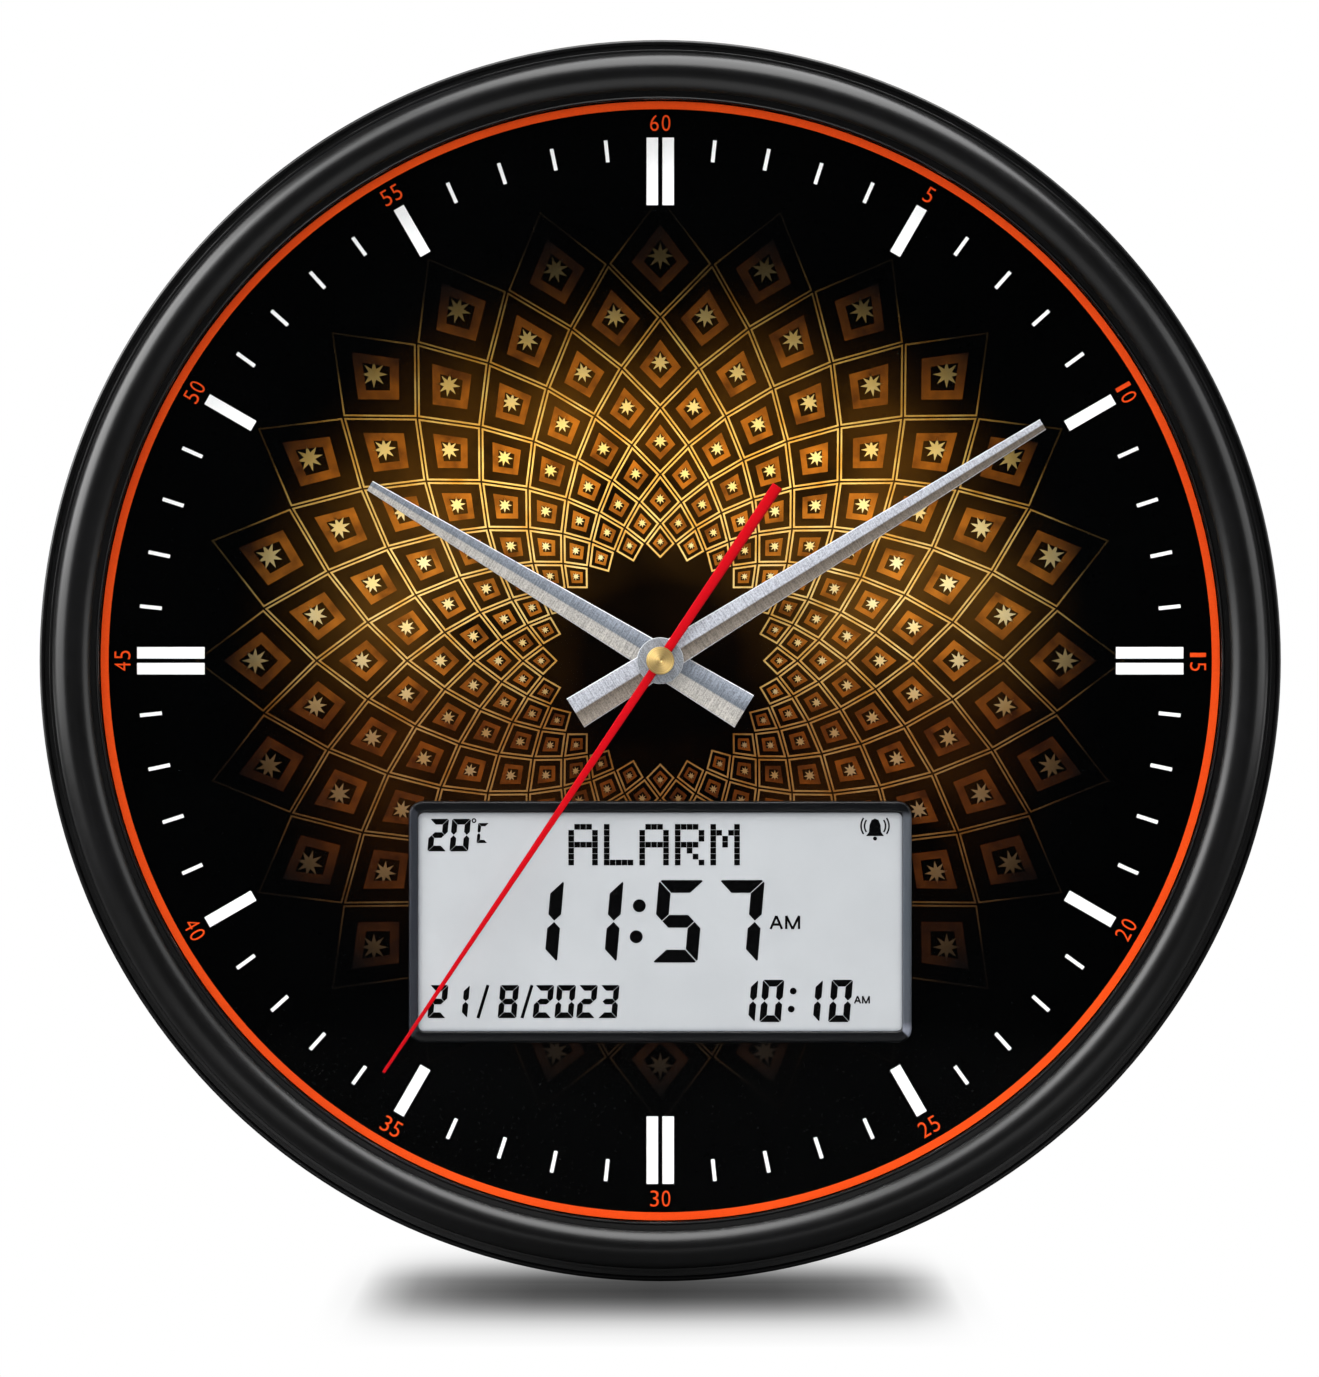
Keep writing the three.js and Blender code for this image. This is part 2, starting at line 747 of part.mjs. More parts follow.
// A helix that climbs the y axis, for the springs under the cells
class SpringCurve extends THREE.Curve {
  getPoint(share, target = new THREE.Vector3()) {
    const angle = share * springTurns * Math.PI * 2;
    const rise = springRoom - seatGap * 2 - contactThickness - springWire;
    return target.set(springRadius * Math.cos(angle), rise * share, springRadius * Math.sin(angle));
  }
}

// The least gap between the turns of a coil of round wire, measured on points a turn or so apart
function leastTurnGap(curve, turns, steps, wireRadius) {
  const count = turns * steps;
  const points = curve.getPoints(count);
  const gaps = points.flatMap((point, index) => (
    points.slice(index + Math.ceil(steps / 2)).map((other) => point.distanceTo(other) - wireRadius * 2)
  ));
  return Math.min(...gaps);
}
const springGap = leastTurnGap(new SpringCurve(), springTurns, springSteps, springWire);
console.log(`Least gap between the turns of a battery spring: ${springGap.toFixed(2)} mm`);

// Contacts: y runs from the end wall into the well, and z is measured from the cells' axes
function contactSheet(width, x) {
  const sheet = new THREE.BoxGeometry(width, contactThickness, contactHeight);
  return solidOf(sheet.translate(x, seatGap + contactThickness / 2, 0));
}

function springOn(x) {
  const coil = wire(new SpringCurve(), springWire, springSides, springTurns * springSteps);
  return at(coil, x, seatGap + contactThickness);
}

function dimpleOn(x) {
  const height = contactRoom - seatGap * 2;
  const top = dimpleRadius * dimpleTopShare;
  const bump = turned([[0, 0], [dimpleRadius, 0], [top, height], [0, height]], smallSides);
  return at(bump.rotate([-90, 0, 0]), x, seatGap);
}

function tagOn(x) {
  const length = wellFront + boxWall + tagProud - cellDepth;
  const strip = new THREE.BoxGeometry(tagWidth, contactThickness, length);
  return solidOf(strip.translate(x, seatGap + contactThickness / 2, length / 2));
}

function addContact(name, atTop, solid) {
  const contact = addPiece(name, solid, ...steel, boxX, atTop ? wellTop : wellBottom);
  contact.position.z = cellDepth;
  if (atTop) contact.rotation.z = Math.PI;
}

const linkWidth = cellPitch + contactWidth;
addContact("contact_negative", false,
  join(contactSheet(contactWidth, -cellPitch), springOn(-cellPitch), tagOn(-cellPitch)));
addContact("contact_link_lower", false,
  join(contactSheet(linkWidth, cellPitch / 2), dimpleOn(0), springOn(cellPitch)));
addContact("contact_link_upper", true,
  join(contactSheet(linkWidth, cellPitch / 2), dimpleOn(cellPitch), springOn(0)));
addContact("contact_positive", true,
  join(contactSheet(contactWidth, -cellPitch), dimpleOn(-cellPitch), tagOn(-cellPitch)));

// Battery door, which turns about the lower edge of its opening on two hooked tabs
const doorBottom = boxY - doorHeight / 2;
const doorTop = boxY + doorHeight / 2;
const doorEdge = doorBottom - seatGap;
const tabFront = coverFloor + seatGap + tabThickness;

function makeDoor() {
  const plate = at(roundedBox(doorWidth, doorHeight, boxCorner, 0, doorThickness), boxX, boxY);
  const tabs = doorTabX.flatMap((x) => [
    at(block(tabWidth, tabNeck, doorThickness - solderSink, tabFront), boxX + x, doorBottom + tabNeck / 2),
    at(block(tabWidth, tabReach + tabNeck, coverFloor + seatGap, tabFront),
      boxX + x, doorBottom + (tabNeck - tabReach) / 2),
  ]);
  const grooves = Array.from({ length: doorGrooveCount }, (_, index) => at(
    roundedBox(doorGrooveLength, doorGrooveWidth, doorGrooveWidth / 2, -cutOverrun, doorGrooveDepth),
    boxX, doorTop - (index + 2) * doorGroovePitch));
  return cut(join(plate, ...tabs), ...grooves);
}
addPiece("battery_door", makeDoor(), ...dullPlastic);

// Hanger plate with its keyhole
function keyhole(radius, slotRadius, from, to) {
  const round = disc(radius, from, to, wideSides);
  const channel = at(block(slotRadius * 2, keySlotLength, from, to), 0, keySlotLength / 2);
  const end = at(disc(slotRadius, from, to), 0, keySlotLength);
  return at(join(round, channel, end), 0, keyholeY);
}
const hangerBack = coverFloor + seatGap;
const hangerFront = hangerBack + hangerThickness;
const hangerY = rimRadius - rimWall - hangerRimGap - hangerHeight / 2;
const keyholeY = hangerY - hangerRise;
const hangerStakeX = hangerWidth / 2 - hangerStakeInset;

function makeHanger() {
  const blank = roundedBox(hangerWidth, hangerHeight, hangerCorner, hangerBack, hangerFront);
  const from = hangerBack - cutOverrun;
  const to = hangerFront + cutOverrun;
  const stakeHoles = [-1, 1].map((side) => at(
    disc(hangerStakeRadius + seatGap, from, to), side * hangerStakeX, hangerY));
  return cut(at(blank, 0, hangerY), keyhole(keyholeRadius, keySlotRadius, from, to), ...stakeHoles);
}
addPiece("hanger_plate", makeHanger(), ...steel);

// Rear cover: a tray whose rim presses the dial home, with the battery well moulded in
const setY = -(cannonTeeth + minuteTeeth) * motionModule / 2;

function coverHoles() {
  const front = coverFloor + cutOverrun;
  const knobHole = at(disc(knobRadius + knobHoleGap, -cutOverrun, front, wideSides), 0, setY);
  const buttonHoles = buttonPlaces.map(([x, y]) => at(
    disc(buttonRadius + seatGap, -cutOverrun, front), x, y));
  const slotReach = speakerRadius - slotMargin;
  const slots = Array.from({ length: slotCount }, (_, index) => {
    const rise = (index - (slotCount - 1) / 2) * slotPitch;
    const length = Math.sqrt(slotReach ** 2 - rise ** 2) * 2;
    return at(roundedBox(length, slotWidth, slotWidth / 2, -cutOverrun, front), speakerX, speakerY + rise);
  });
  const headRoom = screwHeadSink + screwHeadHeight + seatGap;
  const screwHoles = screwPlaces.flatMap(({ x, y }) => [
    at(disc(screwHeadRadius + seatGap, -cutOverrun, headRoom), x, y),
    at(disc(screwShankRadius + seatGap, -cutOverrun, front), x, y),
  ]);
  const keyWindow = keyhole(keyholeRadius + keyWindowMargin, keySlotRadius + keyWindowMargin,
    -cutOverrun, front);
  return [knobHole, ...buttonHoles, ...slots, ...screwHoles, keyWindow];
}

function makeCover() {
  const rimFront = dialBack - seatGap;
  const tray = turned([
    [0, 0], [coverRadius - coverChamfer, 0], [coverRadius, coverChamfer], [coverRadius, coverFloor],
    [rimRadius, coverFloor], [rimRadius, rimFront], [rimRadius - rimWall, rimFront],
    [rimRadius - rimWall, coverFloor], [0, coverFloor],
  ], frameSides);
  const doorOpening = roundedBox(doorWidth + seatGap * 2, doorHeight + seatGap * 2, boxCorner + seatGap,
    -cutOverrun, ledgeBack);
  const notch = at(disc(notchRadius, -cutOverrun, notchDepth, wideSides), boxX, doorTop + seatGap);
  const wellHollow = roundedBox(wellWidth, wellHeight, boxCorner, -cutOverrun, wellFront);
  const wellBody = roundedBox(doorWidth, doorHeight, boxCorner, ledgeBack, wellFront + boxWall);
  const tagY = wellHeight / 2 - seatGap - contactThickness / 2;
  const tagSlots = [[-cellPitch, -tagY], [cellPitch, tagY]].map(([x, y]) => at(
    block(tagWidth + seatGap * 2, contactThickness + seatGap * 2,
      wellFront - cutOverrun, wellFront + boxWall + cutOverrun),
    boxX + x, boxY + y));
  const tabSlots = doorTabX.map((x) => at(
    block(tabWidth + frameFit * 2, tabSweep, ledgeBack - seatGap, tabSweep),
    boxX + x, doorEdge + tabSweep / 2));
  const speakerRing = at(tube(speakerRadius + seatGap, speakerRadius + seatGap + speakerRingWall,
    coverFloor - solderSink, coverFloor + speakerRingHeight, wideSides), speakerX, speakerY);
  const stakes = [-1, 1].map((side) => at(
    disc(hangerStakeRadius, coverFloor - solderSink, hangerFront + stakeProud),
    side * hangerStakeX, hangerY));
  const shell = join(cut(tray, at(doorOpening, boxX, boxY), notch), at(wellBody, boxX, boxY));
  const pierced = cut(shell, at(wellHollow, boxX, boxY), ...tagSlots, ...tabSlots, ...coverHoles());
  return join(pierced, speakerRing, ...stakes);
}
addPiece("rear_cover", makeCover(), ...dullPlastic);

// Screws that hold the rear cover to the frame
function makeScrew() {
  const headFront = screwHeadSink + screwHeadHeight;
  const tip = headFront + screwShankLength;
  return turned([
    [0, screwHeadSink], [screwHeadRadius, screwHeadSink], [screwHeadRadius, headFront],
    [screwShankRadius, headFront], [screwShankRadius, tip - screwPointLength], [0, tip],
  ], smallSides);
}
screwPlaces.forEach(({ x, y }, index) => {
  addPiece(`cover_screw_${index + 1}`, makeScrew(), ...steel, x, y);
});

// Wheels: where each arbor stands, and how a wheel's teeth fall between those of its driver
const third = polar((pinionTeeth + thirdTeeth) * thirdModule / 2, thirdDirection);
const centreModule = third.length() * 2 / (pinionTeeth + centreTeeth);
const intermediate = new THREE.Vector2(-(pinionTeeth + secondTeeth) * secondModule / 2, 0);
const rotorDistance = (pinionTeeth + intermediateTeeth) * rotorModule / 2;
const rotor = polar(rotorDistance, rotorDirection, intermediate.x, intermediate.y);
const setting = new THREE.Vector2(0, setY);
const hourModule = setting.length() * 2 / (pinionTeeth + hourTeeth);
const centre = new THREE.Vector2();

function gear(teeth, module, phase, from, to) {
  const pitch = (Math.PI * 2) / teeth;
  const tip = (teeth / 2 + addendumShare) * module;
  const root = (teeth / 2 - dedendumShare) * module;
  const corners = Array.from({ length: teeth }, (_, tooth) => {
    const middle = phase + tooth * pitch;
    return [
      polar(root, middle - (pitch * toothRootShare) / 2),
      polar(tip, middle - (pitch * toothTipShare) / 2),
      polar(tip, middle + (pitch * toothTipShare) / 2),
      polar(root, middle + (pitch * toothRootShare) / 2),
    ];
  });
  return slab(new THREE.Shape(corners.flat()), from, to);
}

// The phase of a wheel at `there` whose teeth meet those of a wheel at `here`
function meshPhase(here, teeth, phase, there, otherTeeth) {
  const direction = Math.atan2(there.y - here.y, there.x - here.x);
  const offset = phase - direction;
  return direction + Math.PI + Math.PI / otherTeeth - (offset * teeth) / otherTeeth;
}

const intermediatePhase = 0;
const intermediatePinionPhase = 0;
const secondPhase = meshPhase(intermediate, pinionTeeth, intermediatePinionPhase, centre, secondTeeth);
const rotorPhase = meshPhase(intermediate, intermediateTeeth, intermediatePhase, rotor, pinionTeeth);
const secondPinionPhase = 0;
const thirdPhase = meshPhase(centre, pinionTeeth, secondPinionPhase, third, thirdTeeth);
const thirdPinionPhase = 0;
const centrePhase = meshPhase(third, pinionTeeth, thirdPinionPhase, centre, centreTeeth);
const cannonPhase = 0;
const minutePhase = meshPhase(centre, cannonTeeth, cannonPhase, setting, minuteTeeth);
const minutePinionPhase = 0;
const hourPhase = meshPhase(setting, pinionTeeth, minutePinionPhase, centre, hourTeeth);

const wheelAt = (layer) => [layer, layer + wheelThickness];
const pinionAt = (layer) => [layer - pinionLap, layer + wheelThickness + pinionLap];
const pivotBack = innerBack - pivotDepth;
const rotorBack = layerTwo - pinionLap;
const rotorFront = rotorBack + rotorLength;
const platePivot = plateFront - seatGap;

addPiece("rotor", join(
  disc(trainArborRadius, pivotBack, platePivot),
  gear(pinionTeeth, rotorModule, rotorPhase, ...pinionAt(layerOne)),
  disc(rotorRadius, rotorBack, rotorFront, wideSides),
), 0x55585c, 0.4, 0.8, rotor.x, rotor.y);

addPiece("intermediate_wheel", join(
  disc(trainArborRadius, pivotBack, platePivot),
  gear(intermediateTeeth, rotorModule, intermediatePhase, ...wheelAt(layerOne)),
  gear(pinionTeeth, secondModule, intermediatePinionPhase, ...pinionAt(layerTwo)),
), ...whitePlastic, intermediate.x, intermediate.y);

addPiece("second_wheel", join(
  disc(secondArborRadius, pivotBack, capFront - capCover - seatGap),
  gear(secondTeeth, secondModule, secondPhase, ...wheelAt(layerTwo)),
  gear(pinionTeeth, thirdModule, secondPinionPhase, ...pinionAt(layerThree)),
), ...whitePlastic);

addPiece("third_wheel", join(
  disc(trainArborRadius, pivotBack, layerFour + wheelThickness + pinionLap + seatGap),
  gear(thirdTeeth, thirdModule, thirdPhase, ...wheelAt(layerThree)),
  gear(pinionTeeth, centreModule, thirdPinionPhase, ...pinionAt(layerFour)),
), ...whitePlastic, third.x, third.y);

// The centre wheel drives the hands through the cannon pinion, which slips when they are set
const centreHubRadius = cannonBore + centreHubWall;
const centreHubBack = layerThree + wheelThickness + pinionLap + seatGap;
addPiece("centre_wheel", cut(
  join(gear(centreTeeth, centreModule, centrePhase, ...wheelAt(layerFour)),
    disc(centreHubRadius, centreHubBack, layerFour + wheelThickness)),
  disc(cannonBore, centreHubBack - cutOverrun, layerFour + wheelThickness + cutOverrun),
), ...whitePlastic);

const cannonRoot = (cannonTeeth / 2 - dedendumShare) * motionModule;
const pipeEnd = (front) => front - solderSink;
addPiece("cannon_pinion", cut(
  join(disc(cannonRoot, cannonBack, layerFive),
    gear(cannonTeeth, motionModule, cannonPhase, ...pinionAt(layerFive)),
    disc(cannonRadius, layerFive, pipeEnd(minuteFront))),
  disc(cannonBore, cannonBack - cutOverrun, minuteFront + cutOverrun),
), ...brass);

addPiece("minute_wheel", join(
  disc(setArborRadius, knobSink + knobDish + knobCap, innerFront + pivotDepth),
  gear(minuteTeeth, motionModule, minutePhase, ...wheelAt(layerFive)),
  gear(pinionTeeth, hourModule, minutePinionPhase, ...pinionAt(layerSix)),
), ...whitePlastic, setting.x, setting.y);

addPiece("hour_wheel", cut(
  join(gear(hourTeeth, hourModule, hourPhase, ...wheelAt(layerSix)),
    disc(hourRadius, layerSix - pinionLap, pipeEnd(hourFront), wideSides)),
  disc(hourBore, layerSix - cutOverrun, hourFront + cutOverrun),
), ...whitePlastic);

// Setting knob: fluted, dished and pressed on the minute wheel's arbor
function makeKnob() {
  const knobFront = movementBack - seatGap * 2;
  const flutes = Array.from({ length: knobGrips * 2 }, (_, index) => (
    polar(index % 2 ? knobRadius * knobGripShare : knobRadius, (index / knobGrips) * Math.PI)
  ));
  const body = slab(new THREE.Shape(flutes), knobSink, knobFront);
  const dish = disc(knobRadius * knobDishShare, knobSink - cutOverrun, knobSink + knobDish, wideSides);
  const boreBack = knobSink + knobDish + knobCap - seatGap;
  const bore = disc(setArborRadius + runGap, boreBack, knobFront + cutOverrun);
  return cut(body, dish, bore);
}
addPiece("setting_knob", makeKnob(), ...whitePlastic, setting.x, setting.y);

// Hands
function bladeRow(y, width, back) {
  return [[-1, 0], [1, 0], [1, handEdge], [0, handRidge], [-1, handEdge]].map(([side, rise]) => (
    new THREE.Vector3((side * width) / 2, y, back + rise)
  ));
}

function makeHand({ tip, tail, tipWidth, tailWidth, hubRadius, bore, colletBack }) {
  const back = colletBack + colletLength;
  const blade = loft([bladeRow(-tail, tailWidth, back), bladeRow(tip, tipWidth, back)]);
  const hub = disc(hubRadius, back, back + handRidge, wideSides);
  const collet = disc(bore + colletWall, colletBack, back + handEdge);
  const hole = disc(bore, colletBack - cutOverrun, back + handRidge + cutOverrun, wideSides);
  return cut(join(blade, hub, collet), hole);
}

const hourHand = addPiece("hour_hand", makeHand({
  tip: hourTip, tail: hourTail, tipWidth: hourTipWidth, tailWidth: hourTailWidth,
  hubRadius: hourHubRadius, bore: hourRadius + runGap, colletBack: hourColletBack,
}), ...aluminium);
hourHand.rotation.z = -hourAngle;

const minuteHand = addPiece("minute_hand", makeHand({
  tip: minuteTip, tail: minuteTail, tipWidth: minuteTipWidth, tailWidth: minuteTailWidth,
  hubRadius: minuteHubRadius, bore: cannonRadius + runGap, colletBack: minuteColletBack,
}), ...aluminium);
minuteHand.rotation.z = -minuteAngle;

function makeSecondHand() {
  const outline = new THREE.Shape([
    new THREE.Vector2(-secondTailWidth / 2, -secondTail),
    new THREE.Vector2(secondTailWidth / 2, -secondTail),
    new THREE.Vector2(secondHubWidth / 2, 0),
    new THREE.Vector2(secondTipWidth / 2, secondTip),
    new THREE.Vector2(-secondTipWidth / 2, secondTip),
    new THREE.Vector2(-secondHubWidth / 2, 0),
  ]);
  const blade = slab(outline, secondBack, secondFront);
  const hub = disc(secondHubRadius, secondBack, secondFront, wideSides);
  const hole = disc(secondArborRadius + runGap, secondBack - cutOverrun, secondFront + cutOverrun);
  return cut(join(blade, hub), hole);
}
const secondHand = addPiece("second_hand", makeSecondHand(), 0xd41420, 0.3, 0);
secondHand.rotation.z = -secondAngle;

const capBore = secondArborRadius + runGap;
addPiece("second_cap", turned([
  [capBore, capBack], [capRadius, capBack], [capRadius, capBack + capEdge], [capTopRadius, capFront],
  [0, capFront], [0, capFront - capCover], [capBore, capFront - capCover],
], wideSides), ...brass);

// Stator, and the coil round its outer leg
const statorMiddle = (rotorBack + rotorFront) / 2;
const statorBack = statorMiddle - statorThickness / 2;
const statorFront = statorMiddle + statorThickness / 2;
const legX = -statorReach;
const barY = statorHeight / 2;

function makeStator() {
  const bar = (width, height, x, y) => at(block(width, height, statorBack, statorFront), x, y);
  const hole = rotorRadius + rotorAirGap;
  const ring = disc(hole + statorRing, statorBack, statorFront, wideSides);
  const loop = join(ring,
    bar(statorBar, statorHeight, legX, 0),
    bar(statorBar, statorHeight, 0, 0),
    bar(statorReach + statorBar, statorBar, legX / 2, barY - statorBar / 2),
    bar(statorReach + statorBar, statorBar, legX / 2, -barY + statorBar / 2));
  return cut(loop, disc(hole, statorBack - cutOverrun, statorFront + cutOverrun, wideSides));
}
addPiece("stator", makeStator(), ...steel, rotor.x, rotor.y);

function makeCoil() {
  const bore = Math.hypot(statorBar, statorThickness) / 2 + runGap;
  const end = coilLength / 2;
  return turned([
    [bore, -end], [coilRadius, -end], [coilRadius, -end + coilFlange],
    [coilWindingRadius, -end + coilFlange], [coilWindingRadius, end - coilFlange],
    [coilRadius, end - coilFlange], [coilRadius, end], [bore, end],
  ], smallSides).rotate([90, 0, 0]);
}
const coil = addPiece("coil", makeCoil(), 0xa8552a, 0.4, 0.6, rotor.x + legX, rotor.y);
coil.position.z = statorMiddle;

// Movement case: two cups, with the middle plate held between their corner posts
const innerWidth = movementWidth - caseWall * 2;
const postReach = innerWidth / 2 - casePostInset;
const corners = [[1, 1], [-1, 1], [-1, -1], [1, -1]].map(([x, y]) => [x * postReach, y * postReach]);
const chipBoardX = -(postReach - casePostRadius - seatGap - movementBoardWidth / 2);
const chipBoardY = -(innerWidth / 2 - movementBoardHeight / 2 - seatGap * 2);
const chipBoardBack = innerBack + movementBoardInset;
const leadHole = leadRadius + runGap;

function makeRearCase() {
  const cup = cut(
    roundedBox(movementWidth, movementWidth, movementCorner, movementBack, plateFront),
    roundedBox(innerWidth, innerWidth, movementCorner - caseWall, innerBack, plateFront + cutOverrun));
  const floor = innerBack - solderSink;
  const posts = corners.map(([x, y]) => at(disc(casePostRadius, floor, plateBack - seatGap), x, y));
  const pillars = [barY - statorBar / 2, -barY + statorBar / 2].map((y) => at(
    disc(pillarRadius, floor, statorBack - seatGap), rotor.x + legX, rotor.y + y));
  const boardPillars = [-1, 1].map((side) => at(
    disc(pillarRadius, floor, chipBoardBack - seatGap),
    chipBoardX + side * (movementBoardWidth / 2 - pillarRadius), chipBoardY));
  const pivotHole = (place, radius) => at(
    disc(radius + runGap, pivotBack - seatGap, innerBack + cutOverrun), place.x, place.y);
  const pivots = [centre, third, intermediate, rotor].map((place) => pivotHole(place, trainArborRadius));
  const setHole = at(
    disc(setArborRadius + runGap, movementBack - cutOverrun, innerBack + cutOverrun), 0, setY);
  const leadWay = at(block(leadHole * 2, caseWall * 2, chipBoardBack - leadHole, chipBoardBack + leadHole),
    chipBoardX, -movementWidth / 2 + caseWall / 2);
  return cut(join(cup, ...posts, ...pillars, ...boardPillars), ...pivots, setHole, leadWay);
}
addPiece("movement_rear_case", makeRearCase(), 0x26282b, 0.5, 0);

function makeMiddlePlate() {
  const side = innerWidth - frameFit * 2;
  const plate = roundedBox(side, side, movementCorner - caseWall, plateBack, plateFront);
  const coilRoom = coilRadius + runGap;
  const notchWidth = innerWidth / 2 + rotor.x + legX + coilRoom;
  const notch = at(
    block(notchWidth, coilLength + coilRoom, plateBack - cutOverrun, plateFront + cutOverrun),
    -innerWidth / 2 + notchWidth / 2, rotor.y);
  const hole = (place, radius) => at(
    disc(radius + runGap, plateBack - cutOverrun, plateFront + cutOverrun), place.x, place.y);
  return cut(plate, notch, hole(centre, centreHubRadius), hole(setting, setArborRadius),
    hole(third, trainArborRadius), hole(intermediate, trainArborRadius), hole(rotor, trainArborRadius));
}
addPiece("middle_plate", makeMiddlePlate(), ...whitePlastic);

function makeFrontCase() {
  const back = plateFront + seatGap;
  const cup = cut(
    roundedBox(movementWidth, movementWidth, movementCorner, back, movementFront),
    roundedBox(innerWidth, innerWidth, movementCorner - caseWall, back - cutOverrun, innerFront));
  const posts = corners.map(([x, y]) => at(disc(casePostRadius, back, innerFront + solderSink), x, y));
  const post = disc(postRadius, movementFront - solderSink, postFront, wideSides);
  const bore = disc(postBore, innerFront - cutOverrun, postFront + cutOverrun, wideSides);
  const pivot = at(
    disc(setArborRadius + runGap, innerFront - cutOverrun, innerFront + pivotDepth + seatGap), 0, setY);
  return cut(join(cup, ...posts, post), bore, pivot);
}
addPiece("movement_front_case", makeFrontCase(), 0x26282b, 0.5, 0);

// Board that steps the motor, with its chip under a drop of resin
function makeMovementBoard() {
  const face = chipBoardBack + movementBoardThickness;
  const board = block(movementBoardWidth, movementBoardHeight, chipBoardBack, face);
  const blob = turned([
    [0, face - solderSink], [blobRadius, face - solderSink], [blobRadius * blobTopShare, face + blobHeight],
    [0, face + blobHeight],
  ], smallSides);
  return join(board, blob);
}
addPiece("movement_board", makeMovementBoard(), ...circuitGreen, chipBoardX, chipBoardY);

// Washer and nut that clamp the movement to the dial
addPiece("movement_washer",
  tube(postRadius + seatGap, washerRadius, washerBack, washerBack + washerThickness, wideSides),
  0x151515, 0.9, 0);
addPiece("movement_nut", cut(
  disc(nutRadius, nutBack, nutFront, nutSides),
  disc(postRadius + seatGap, nutBack - cutOverrun, nutFront + cutOverrun, wideSides),
), ...brass);

// Leads, each along points chosen by hand
function addLead(name, color, points) {
  const route = new THREE.CatmullRomCurve3(points.map((point) => new THREE.Vector3(...point)));
  addPiece(name, wire(route, leadRadius, leadSides, leadSteps), color, 0.6, 0);
}
addLead("speaker_lead", 0x8f8f93, [
  [-66.5, 5.5, 5.4], [-64, -2, 5.7], [-62, -14, 8], [-58, -26, 13], [-54, -36, 18],
  [-52, -42, 20.1], [-51, -47, 20.1],
]);
addLead("battery_lead_positive", 0xb32020, [
  [100, 37.3, 19.9], [99, 30, 19.9], [90, 5, 20], [76, -22, 20], [62, -38, 20.1], [52, -47, 20.1],
]);
addLead("battery_lead_negative", 0x151515, [
  [70, -18.4, 19.9], [68, -24, 19.9], [60, -34, 20], [48, -42, 20.1], [46, -48, 20.1],
]);
addLead("movement_lead", 0x8f8f93, [
  [-10.6, -26.3, 10.6], [-10.6, -30, 10.6], [-12.5, -36, 14], [-17, -42, 19.4], [-20, -48, 20.1],
]);

export default clock;
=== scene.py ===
"""The looks of a round wall clock with a segment display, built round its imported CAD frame."""

import json
import math

import bmesh
import bpy
from mathutils import Matrix, Vector


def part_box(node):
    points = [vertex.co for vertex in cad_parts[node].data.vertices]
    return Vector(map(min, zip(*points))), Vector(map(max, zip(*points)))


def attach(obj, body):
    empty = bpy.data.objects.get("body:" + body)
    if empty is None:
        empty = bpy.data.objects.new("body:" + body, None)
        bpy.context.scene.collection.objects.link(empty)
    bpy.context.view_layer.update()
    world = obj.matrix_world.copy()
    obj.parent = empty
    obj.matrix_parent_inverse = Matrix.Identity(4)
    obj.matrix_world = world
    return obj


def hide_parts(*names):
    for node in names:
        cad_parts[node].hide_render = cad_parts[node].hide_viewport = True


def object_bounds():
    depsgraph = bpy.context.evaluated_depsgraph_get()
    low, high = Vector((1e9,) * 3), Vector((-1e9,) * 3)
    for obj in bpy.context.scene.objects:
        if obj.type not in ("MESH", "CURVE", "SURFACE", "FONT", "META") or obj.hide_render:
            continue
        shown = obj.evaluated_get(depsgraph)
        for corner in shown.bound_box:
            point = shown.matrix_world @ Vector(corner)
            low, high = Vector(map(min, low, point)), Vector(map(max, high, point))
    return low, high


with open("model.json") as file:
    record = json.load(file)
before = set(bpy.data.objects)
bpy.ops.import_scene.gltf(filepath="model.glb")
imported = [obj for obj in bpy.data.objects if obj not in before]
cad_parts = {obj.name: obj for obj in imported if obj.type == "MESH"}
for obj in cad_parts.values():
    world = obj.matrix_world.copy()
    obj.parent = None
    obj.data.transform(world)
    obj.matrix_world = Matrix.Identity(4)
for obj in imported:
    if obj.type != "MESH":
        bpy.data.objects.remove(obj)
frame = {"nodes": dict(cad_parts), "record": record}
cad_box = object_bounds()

# Lengths are millimetres until point() turns them into metres. A depth is measured from the wall.
MM = 0.001
TINY = 1e-6
WELD = 1e-7
RING_SIDES = 240
DISC_SIDES = 96
HOLE_SIDES = 48
ARC_STEPS = 6
OVERRUN = 2
SHARP_DEGREES = 35
CRISP_DEGREES = 30


# Places and loops of points

def point(across, up, depth):
    return Vector((across, -depth, up)) * MM


def depths(node):
    """Back and front of a CAD node, as depths."""
    low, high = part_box(node)
    return -high.y / MM, -low.y / MM


def middle(node):
    """Where a CAD node's box is centred: across and up."""
    low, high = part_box(node)
    return (low.x + high.x) / 2 / MM, (low.z + high.z) / 2 / MM


def extent(node):
    """Width and height of a CAD node."""
    low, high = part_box(node)
    return (high.x - low.x) / MM, (high.z - low.z) / MM


def polar(radius, angle, centre=(0, 0)):
    return centre[0] + radius * math.cos(angle), centre[1] + radius * math.sin(angle)


def circle(radius, sides=HOLE_SIDES, centre=(0, 0)):
    return [polar(radius, math.tau * side / sides, centre) for side in range(sides)]


